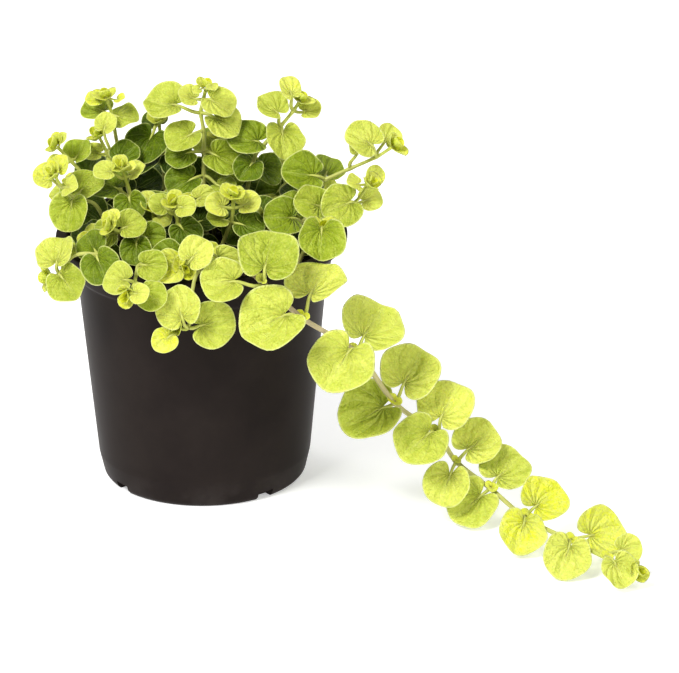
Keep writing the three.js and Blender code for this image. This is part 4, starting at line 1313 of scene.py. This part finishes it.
class Graph:
    """A node tree and short ways to add to it."""

    def __init__(self, tree: bpy.types.NodeTree) -> None:
        """Keeps the tree."""
        self.tree = tree

    def feed(self, entry: Socket, value: object) -> None:
        """Links an input to a socket, or sets its value.

        Args:
            entry: The input.
            value: The socket or the value.
        """
        if isinstance(value, Socket):
            self.tree.links.new(value, entry)
        else:
            entry.default_value = value

    def add(self, kind: str, inputs: dict[int | str, object] | None = None,
            **settings: object) -> bpy.types.Node:
        """Adds a node.

        Args:
            kind: The node's type.
            inputs: A socket to link or a value to set, for each input.
            settings: The node's own settings.

        Returns:
            The node.
        """
        node = self.tree.nodes.new(kind)
        for name, value in settings.items():
            setattr(node, name, value)
        for key, value in (inputs or {}).items():
            self.feed(node.inputs[key], value)
        return node

    def math(self, operation: str, first: Value, second: Value = 0.0, clamp: bool = False) -> Socket:
        """A sum on one or two values, such as SUBTRACT."""
        node = self.add("ShaderNodeMath", {0: first, 1: second}, operation=operation, use_clamp=clamp)
        return node.outputs[0]

    def plus(self, first: Value, second: Value, clamp: bool = False) -> Socket:
        """Two values added."""
        return self.math("ADD", first, second, clamp)

    def times(self, first: Value, second: Value) -> Socket:
        """Two values multiplied."""
        return self.math("MULTIPLY", first, second)

    def mix(self, share: Value, first: object, second: object) -> Socket:
        """Two colours mixed by a share of the second."""
        return self.add("ShaderNodeMix", {0: share, 6: first, 7: second}, data_type="RGBA").outputs[2]

    def noise(self, place: Socket, scale: Value, detail: float, **more: float) -> Socket:
        """Noise from 0 to 1 at a place."""
        inputs = {"Vector": place, "Scale": scale, "Detail": detail, **more}
        return self.add("ShaderNodeTexNoise", inputs).outputs[0]

    def span(self, value: Value, low: float, high: float, first: float, last: float) -> Socket:
        """A value carried from the span low to high onto first to last, and kept within it."""
        return self.add("ShaderNodeMapRange", {0: value, 1: low, 2: high, 3: first, 4: last}).outputs[0]

    def ramp(self, value: Value, stops: list[tuple[float, tuple[float, ...]]]) -> Socket:
        """A colour for a value, from colours at stops.

        Args:
            value: The value.
            stops: The place and colour of each stop.

        Returns:
            The colour.
        """
        node = self.add("ShaderNodeValToRGB", {0: value})
        while len(node.color_ramp.elements) < len(stops):
            node.color_ramp.elements.new(1.0)
        for element, (place, colour) in zip(node.color_ramp.elements, stops):
            element.position = place
            element.color = colour
        return node.outputs[0]

    def attribute(self, name: str) -> Socket:
        """A value that a piece's mesh holds at its points."""
        return self.add("ShaderNodeAttribute", attribute_name=name).outputs["Fac"]

    def group(self, tree: bpy.types.NodeTree, inputs: dict[str, object]) -> bpy.types.Node:
        """Places a shared group with its own values."""
        return self.add("ShaderNodeGroup", inputs, node_tree=tree)


def shared_group(name: str, inputs: dict[str, str],
                 outputs: list[str]) -> tuple[Graph, dict[str, Socket], bpy.types.Node]:
    """Starts a shared group.

    Args:
        name: Its name.
        inputs: The kind of each input by its name.
        outputs: The names of its values.

    Returns:
        Its graph, its inputs by name and the node that its values go to.
    """
    tree = bpy.data.node_groups.new(name, "ShaderNodeTree")
    for socket, kind in inputs.items():
        tree.interface.new_socket(socket, in_out="INPUT", socket_type=kind)
    for socket in outputs:
        tree.interface.new_socket(socket, in_out="OUTPUT", socket_type="NodeSocketFloat")
    graph = Graph(tree)
    entry = graph.add("NodeGroupInput")
    return graph, {socket: entry.outputs[socket] for socket in inputs}, graph.add("NodeGroupOutput")


def mottle_group() -> bpy.types.NodeTree:
    """Soft blotches with finer ones on them, from 0 to 1, for colour and gloss that vary over a surface.

    Returns:
        The group.
    """
    graph, given, out = shared_group("mottle", {"Place": "NodeSocketVector", "Scale": "NodeSocketFloat",
                                                "Contrast": "NodeSocketFloat"}, ["Blotches"])
    noise = graph.noise(given["Place"], given["Scale"], 5.0, Roughness=0.6)
    centred = graph.math("SUBTRACT", noise, 0.5)
    wide = graph.times(centred, given["Contrast"])
    graph.tree.links.new(graph.plus(wide, 0.5, clamp=True), out.inputs["Blotches"])
    return graph.tree


def vein_group() -> bpy.types.NodeTree:
    """Veins of a leaf by its own map: they leave the stalk's end like a fan and bend toward the tip, with a
    fine net between them. Vein is 1 on a vein, Height is the quilted and crinkled face for bump, and Net is 1
    in creases, as a mask for painted shade.

    Returns:
        The group.
    """
    graph, given, out = shared_group("leaf_veins", {"Map": "NodeSocketVector", "Seed": "NodeSocketFloat"},
                                     ["Vein", "Height", "CreaseShade"])
    axes = graph.add("ShaderNodeSeparateXYZ", {0: given["Map"]})
    shift = graph.times(given["Seed"], 37.0)
    place = graph.add("ShaderNodeCombineXYZ", {0: axes.outputs[0], 1: axes.outputs[1], 2: shift}).outputs[0]
    waver = graph.span(graph.noise(place, 5.0, 2.0), 0.25, 0.75, -0.05, 0.05)
    from_middle = graph.times(graph.math("SUBTRACT", axes.outputs[0], 0.5), 2.5)
    across = graph.plus(from_middle, waver)
    along = graph.times(graph.math("SUBTRACT", axes.outputs[1], 0.31), 2.5)
    angle = graph.math("ABSOLUTE", graph.math("ARCTAN2", across, along))
    way = graph.math("SQRT", graph.plus(graph.times(across, across),
                                        graph.times(along, along)))
    fan = graph.plus(graph.times(angle, 2.1), graph.times(way, 0.75))
    off = graph.math("ABSOLUTE", graph.math("SUBTRACT", graph.math("FRACT", fan), 0.5))
    side_vein = graph.span(off, 0.42, 0.5, 0.0, 1.0)
    midrib = graph.span(graph.math("ABSOLUTE", across), 0.0, 0.05, 1.0, 0.0)
    ahead = graph.span(along, 0.0, 0.1, 0.0, 1.0)
    vein = graph.math("MAXIMUM", graph.times(midrib, ahead), side_vein)
    fade = graph.span(way, 0.2, 1.5, 1.0, 0.25)
    vein = graph.times(vein, fade)
    cells = graph.add("ShaderNodeTexVoronoi", {"Vector": place, "Scale": 17.0}, feature="DISTANCE_TO_EDGE")
    # Painted shade: 1 along the edges of the cells, the creases, where the leaf's colour darkens
    net = graph.span(cells.outputs[0], 0.0, 0.12, 1.0, 0.0)
    puff = graph.span(off, 0.0, 0.5, 1.0, 0.0)
    crinkle = graph.noise(place, 10.0, 3.0, Distortion=1.6)
    pillows = graph.span(cells.outputs[0], 0.0, 0.3, 0.0, 0.3)
    height = graph.plus(graph.times(puff, 1.3), pillows)
    height = graph.plus(height, graph.span(crinkle, 0.25, 0.75, 0.0, 1.1))
    height = graph.math("SUBTRACT", height, graph.times(vein, 0.3))
    for name, value in (("Vein", vein), ("Height", height), ("CreaseShade", net)):
        graph.tree.links.new(value, out.inputs[name])
    return graph.tree


class Finish:
    """A material whose colour, gloss and bump come from nodes."""

    def __init__(self, name: str) -> None:
        """Starts the material with its shader and object coordinates.

        Args:
            name: The material's name.
        """
        self.material = bpy.data.materials.new(name)
        self.material.use_nodes = True
        self.graph = Graph(self.material.node_tree)
        self.shader = self.material.node_tree.nodes["Principled BSDF"]
        self.place = self.graph.add("ShaderNodeTexCoord").outputs["Object"]

    def blotches(self, mottle: bpy.types.NodeTree, scale: float, contrast: float) -> Socket:
        """The shared blotches, at a size and contrast of the material's own."""
        group = self.graph.group(mottle, {"Place": self.place, "Scale": scale, "Contrast": contrast})
        return group.outputs[0]

    def dress(self, **sockets: object) -> None:
        """Sets or links the shader's inputs, named with underscores for spaces."""
        for name, value in sockets.items():
            entry = self.shader.inputs[name.replace("_", " ").title().replace("Ior", "IOR")]
            self.graph.feed(entry, value)

    def bump(self, height: Socket, strength: float, depth: float, normal: Socket | None = None) -> Socket:
        """A normal bent by a height.

        Args:
            height: The height, from 0 to 1.
            strength: How much of the bend it takes.
            depth: The full depth in millimetres.
            normal: The normal that it starts from.

        Returns:
            The bent normal.
        """
        inputs: dict[int | str, object] = {"Height": height, "Strength": strength, "Distance": depth * MM}
        if normal is not None:
            inputs["Normal"] = normal
        return self.graph.add("ShaderNodeBump", inputs).outputs[0]


@dataclass(frozen=True)
class PlasticFinish:
    """Near-black moulded plastic: faint blotches, fine flow lines up the wall and a dusty foot."""

    dark: tuple[int, int, int] = (43, 37, 36)
    light: tuple[int, int, int] = (53, 47, 44)
    dust: tuple[int, int, int] = (96, 90, 88)

    def make(self, mottle: bpy.types.NodeTree) -> bpy.types.Material:
        """Builds the material.

        Args:
            mottle: The shared blotches.

        Returns:
            The material.
        """
        finish = Finish("black_plastic")
        graph = finish.graph
        soft = finish.blotches(mottle, 45.0, 1.6)
        lines = graph.add("ShaderNodeMapping", {0: finish.place, 3: (900.0, 900.0, 25.0)}).outputs[0]
        flow = graph.noise(lines, 1.0, 3.0)
        fine = graph.noise(finish.place, 2600.0, 2.0)
        height = graph.add("ShaderNodeSeparateXYZ", {0: finish.place}).outputs[2]
        low = graph.span(height, 0.0, 0.012, 0.5, 0.0)
        worn = graph.times(low, graph.span(soft, 0.4, 0.9, 0.0, 0.8))
        colour = graph.mix(soft, shade(*self.dark), shade(*self.light))
        colour = graph.mix(worn, colour, shade(*self.dust))
        rough = graph.plus(graph.span(soft, 0.0, 1.0, 0.34, 0.46), graph.times(worn, 0.3))
        normal = finish.bump(flow, 0.25, 0.03)
        normal = finish.bump(fine, 0.2, 0.02, normal)
        finish.dress(base_color=colour, roughness=rough, normal=normal, specular_ior_level=0.05)
        return finish.material


@dataclass(frozen=True)
class CrumbFinish:
    """A dull earthy grain: peat, perlite or bark, by its two colours and the depth of its bump."""

    name: str
    dark: tuple[int, int, int]
    light: tuple[int, int, int]
    scale: float
    depth: float

    def make(self, mottle: bpy.types.NodeTree) -> bpy.types.Material:
        """Builds the material.

        Args:
            mottle: The shared blotches.

        Returns:
            The material.
        """
        finish = Finish(self.name)
        graph = finish.graph
        coarse = finish.blotches(mottle, self.scale, 2.4)
        fine = finish.blotches(mottle, self.scale * 5, 2.0)
        mixed = graph.times(graph.plus(coarse, fine), 0.5)
        colour = graph.mix(mixed, shade(*self.dark), shade(*self.light))
        rough = graph.span(fine, 0.0, 1.0, 0.75, 0.98)
        finish.dress(base_color=colour, roughness=rough, normal=finish.bump(fine, 0.7, self.depth))
        return finish.material


@dataclass(frozen=True)
class LeafFinish:
    """A golden leaf: yellow when young and greener when old, with darker tones deep in the mound that are
    partly painted shade, mottled between its veins, with painted shade in the creases of its net, a pale rim
    that is a painted highlight and a paler underside."""

    # Young yellow to old green; the darkest tones, which leaves deep in the mound take, also stand for
    # painted shade
    tones: tuple[tuple[float, tuple[int, int, int]], ...] = (
        (0.0, (226, 231, 64)), (0.1, (221, 227, 110)), (0.3, (197, 206, 88)), (0.5, (157, 174, 44)),
        (0.75, (102, 124, 14)), (1.0, (62, 84, 5)),
    )
    # Painted highlight: the pale edge of every leaf; the veins are also tinted towards it
    rim: tuple[int, int, int] = (222, 229, 148)
    under: tuple[int, int, int] = (186, 204, 112)
    gold: tuple[int, int, int] = (222, 212, 100)

    def make(self, mottle: bpy.types.NodeTree, veins: bpy.types.NodeTree) -> bpy.types.Material:
        """Builds the material.

        Args:
            mottle: The shared blotches.
            veins: The shared veins.

        Returns:
            The material.
        """
        finish = Finish("golden_leaf")
        graph = finish.graph
        tone, seed, edge, below, size = (graph.attribute(name)
                                         for name in ("tone", "seed", "edge", "under", "size"))
        leaf_map = graph.add("ShaderNodeUVMap", uv_map="leaf_map").outputs[0]
        net = graph.group(veins, {"Map": leaf_map, "Seed": seed})
        vein, height, crease_shade = (net.outputs[name] for name in ("Vein", "Height", "CreaseShade"))
        soft = finish.blotches(mottle, 190.0, 1.5)
        speck = finish.blotches(mottle, 900.0, 2.2)
        deep = graph.plus(tone, graph.span(soft, 0.0, 1.0, -0.13, 0.13))
        # Painted shade: the leaf is darker in the creases of its net
        deep = graph.plus(deep, graph.times(crease_shade, 0.06))
        deep = graph.plus(deep, graph.span(speck, 0.0, 1.0, -0.08, 0.08), clamp=True)
        colour = graph.ramp(deep, [(place, shade(*tint)) for place, tint in self.tones])
        young = graph.span(tone, 0.0, 0.6, 1.0, 0.2)
        flecks = graph.times(graph.span(speck, 0.6, 0.85, 0.0, 0.55), young)
        colour = graph.mix(flecks, colour, shade(*self.gold))
        colour = graph.mix(graph.times(vein, 0.28), colour, shade(*self.rim))
        # Painted highlight: a pale band round the edge of every leaf
        colour = graph.mix(graph.span(edge, 0.925, 0.985, 0.0, 0.85), colour, shade(*self.rim))
        colour = graph.mix(graph.times(below, 0.45), colour, shade(*self.under))
        rough = graph.span(speck, 0.0, 1.0, 0.34, 0.5)
        height = graph.times(graph.plus(height, graph.times(speck, 0.3)), size)
        finish.dress(base_color=colour, roughness=rough, normal=finish.bump(height, 0.9, 0.5),
                     specular_ior_level=0.35, subsurface_weight=0.18, subsurface_radius=(0.7, 0.9, 0.2),
                     subsurface_scale=1.5 * MM)
        return finish.material


@dataclass(frozen=True)
class StemFinish:
    """A smooth stem, pale yellow-green at its tip and tan where it is old."""

    ages: tuple[tuple[float, tuple[int, int, int]], ...] = (
        (0.0, (194, 202, 92)), (0.35, (194, 192, 122)), (0.7, (190, 177, 140)), (1.0, (146, 122, 98)),
    )

    def make(self, mottle: bpy.types.NodeTree) -> bpy.types.Material:
        """Builds the material.

        Args:
            mottle: The shared blotches.

        Returns:
            The material.
        """
        finish = Finish("stem_skin")
        graph = finish.graph
        soft = finish.blotches(mottle, 400.0, 1.8)
        age = graph.plus(graph.attribute("age"), graph.span(soft, 0.0, 1.0, -0.1, 0.1), clamp=True)
        colour = graph.ramp(age, [(place, shade(*tint)) for place, tint in self.ages])
        ridges = graph.noise(finish.place, 1800.0, 2.0)
        rough = graph.span(soft, 0.0, 1.0, 0.42, 0.58)
        finish.dress(base_color=colour, roughness=rough, normal=finish.bump(ridges, 0.3, 0.08),
                     subsurface_weight=0.15, subsurface_radius=(0.8, 0.8, 0.3), subsurface_scale=1.0 * MM)
        return finish.material


@dataclass(frozen=True)
class Studio:
    """Pale floor, soft light and the photograph's view: level lines true, seen from in front and above."""

    eye: tuple[float, float, float] = (53.8, -1283.0, 558.0)
    pitch: float = 21.37
    lens: float = 184.8
    aim: tuple[float, float, float] = (0.03, 0.0, 0.08)
    floor_size: float = 5.0
    floor_points: int = 9
    sky: float = 0.25
    floor_glow: float = 0.36

    def camera(self) -> None:
        """Makes the camera that the render looks through."""
        data = bpy.data.cameras.new("camera")
        data.lens = self.lens
        data.sensor_width = 36.0
        data.clip_end = 50.0
        seat = placed("camera", data)
        seat.location = [part * MM for part in self.eye]
        seat.rotation_euler = (math.radians(90 - self.pitch), 0.0, 0.0)
        bpy.context.scene.camera = seat

    def lamp(self, name: str, at: tuple[float, float, float], size: tuple[float, float],
             power: float) -> None:
        """Adds a soft box that faces the plant.

        Args:
            name: Its name.
            at: Its place in metres.
            size: Its width and height in metres.
            power: Its power in watts.
        """
        data = bpy.data.lights.new(name, "AREA")
        data.shape = "RECTANGLE"
        data.size, data.size_y = size
        data.energy = power
        seat = placed(name, data)
        seat.location = at
        x, y, z = np.array(self.aim) - np.array(at)
        seat.rotation_euler = (math.atan2(math.hypot(x, y), -z), 0.0, math.atan2(y, x) - math.pi / 2)

    def floor(self) -> None:
        """Makes the floor: a wide flat sheet, level with the pot's foot."""
        steps = np.linspace(-0.5, 0.5, self.floor_points) * self.floor_size
        x, y = np.meshgrid(steps, steps)
        points = np.stack([x, y, np.zeros_like(x)], axis=-1).reshape(-1, 3)
        index = np.arange(x.size).reshape(x.shape)
        corners = [index[:-1, :-1], index[:-1, 1:], index[1:, 1:], index[1:, :-1]]
        faces = np.stack(corners, axis=-1).reshape(-1, 4)
        mesh = bpy.data.meshes.new("floor")
        mesh.from_pydata(points.tolist(), [], faces.tolist())
        finish = Finish("pale_floor")
        finish.dress(base_color=(0.84, 0.84, 0.84, 1.0), roughness=0.9, specular_ior_level=0.1,
                     emission_color=(1.0, 1.0, 1.0, 1.0), emission_strength=self.floor_glow)
        mesh.materials.append(finish.material)
        placed("floor", mesh)

    def light(self) -> None:
        """Lights the plant from all round: a dim sky, a soft box high on each side in front and two lower
        behind.
        """
        world = bpy.data.worlds.new("sky")
        world.use_nodes = True
        sky = world.node_tree.nodes["Background"]
        sky.inputs[0].default_value = (1.0, 1.0, 1.0, 1.0)
        sky.inputs[1].default_value = self.sky
        bpy.context.scene.world = world
        self.lamp("left_box", (-1.7, -1.9, 3.0), (1.3, 1.5), 116.0)
        self.lamp("right_box", (2.1, -1.8, 2.4), (1.3, 1.6), 40.0)
        self.lamp("back_left_box", (-2.0, 2.4, 1.8), (1.2, 1.6), 15.0)
        self.lamp("back_right_box", (2.0, 2.4, 1.8), (1.2, 1.6), 15.0)

    def build(self) -> None:
        """Makes the camera, the floor and the light."""
        self.camera()
        self.floor()
        self.light()
        bpy.context.scene.view_settings.view_transform = "Standard"
        bpy.context.scene.view_settings.look = "Medium High Contrast"


# How green the lowest leaves are: of some stems, of the shown ones and of those that fill the mound. Lower,
# older leaves are greener, and the filling stems' darker tone is also painted shade for the inside of the
# mound.
SHADES = {"stem_trailing": 0.33, "stem_back_left": 2.6, "stem_right_front": 1.2, "stem_mid_left": 0.7}
SHOWN_SHADE = 0.62
FILLING_AGE_AND_PAINTED_SHADE = 1.3


def grow(mottle: bpy.types.NodeTree) -> list[bpy.types.Object]:
    """Places every leaf and makes a piece of each stem.

    Args:
        mottle: The shared blotches.

    Returns:
        The pieces.
    """
    specs = [TRAIL, *SHOWN, *FILLING]
    stems = [Stem(spec, index) for index, spec in enumerate(specs)]
    blades = Placing(stems).blades
    wanted = sum(len(stem.leaves) for stem in stems)
    log.info("%d of %d leaves have room", len(blades), wanted)
    leaf, skin = LeafFinish().make(mottle, vein_group()), StemFinish().make(mottle)
    pieces = []
    for stem in stems:
        own = [blade for blade in blades if blade.stem == stem.index]
        # Filling stems take a darker tone: older green leaves, and painted shade deep inside the mound
        usual = FILLING_AGE_AND_PAINTED_SHADE if stem.spec in FILLING else SHOWN_SHADE
        pieces.append(Sprig(stem, own, SHADES.get(stem.spec.name, usual)).build(leaf, skin))
    return pieces


def main() -> None:
    """Builds the studio, the pot, the mix and the stems."""
    logging.basicConfig(level=logging.INFO, format="%(message)s")
    Studio().build()
    mottle = mottle_group()
    Pot().build(PlasticFinish().make(mottle))
    PottingMix().build(
        CrumbFinish("peat", (20, 14, 11), (58, 44, 35), 420.0, 0.5).make(mottle),
        CrumbFinish("perlite", (170, 166, 158), (232, 229, 222), 700.0, 0.3).make(mottle),
        CrumbFinish("bark", (44, 29, 20), (104, 76, 53), 500.0, 0.4).make(mottle))
    pieces = grow(mottle)
    log.info("%d stems", len(pieces))


if __name__ == "__main__":
    main()
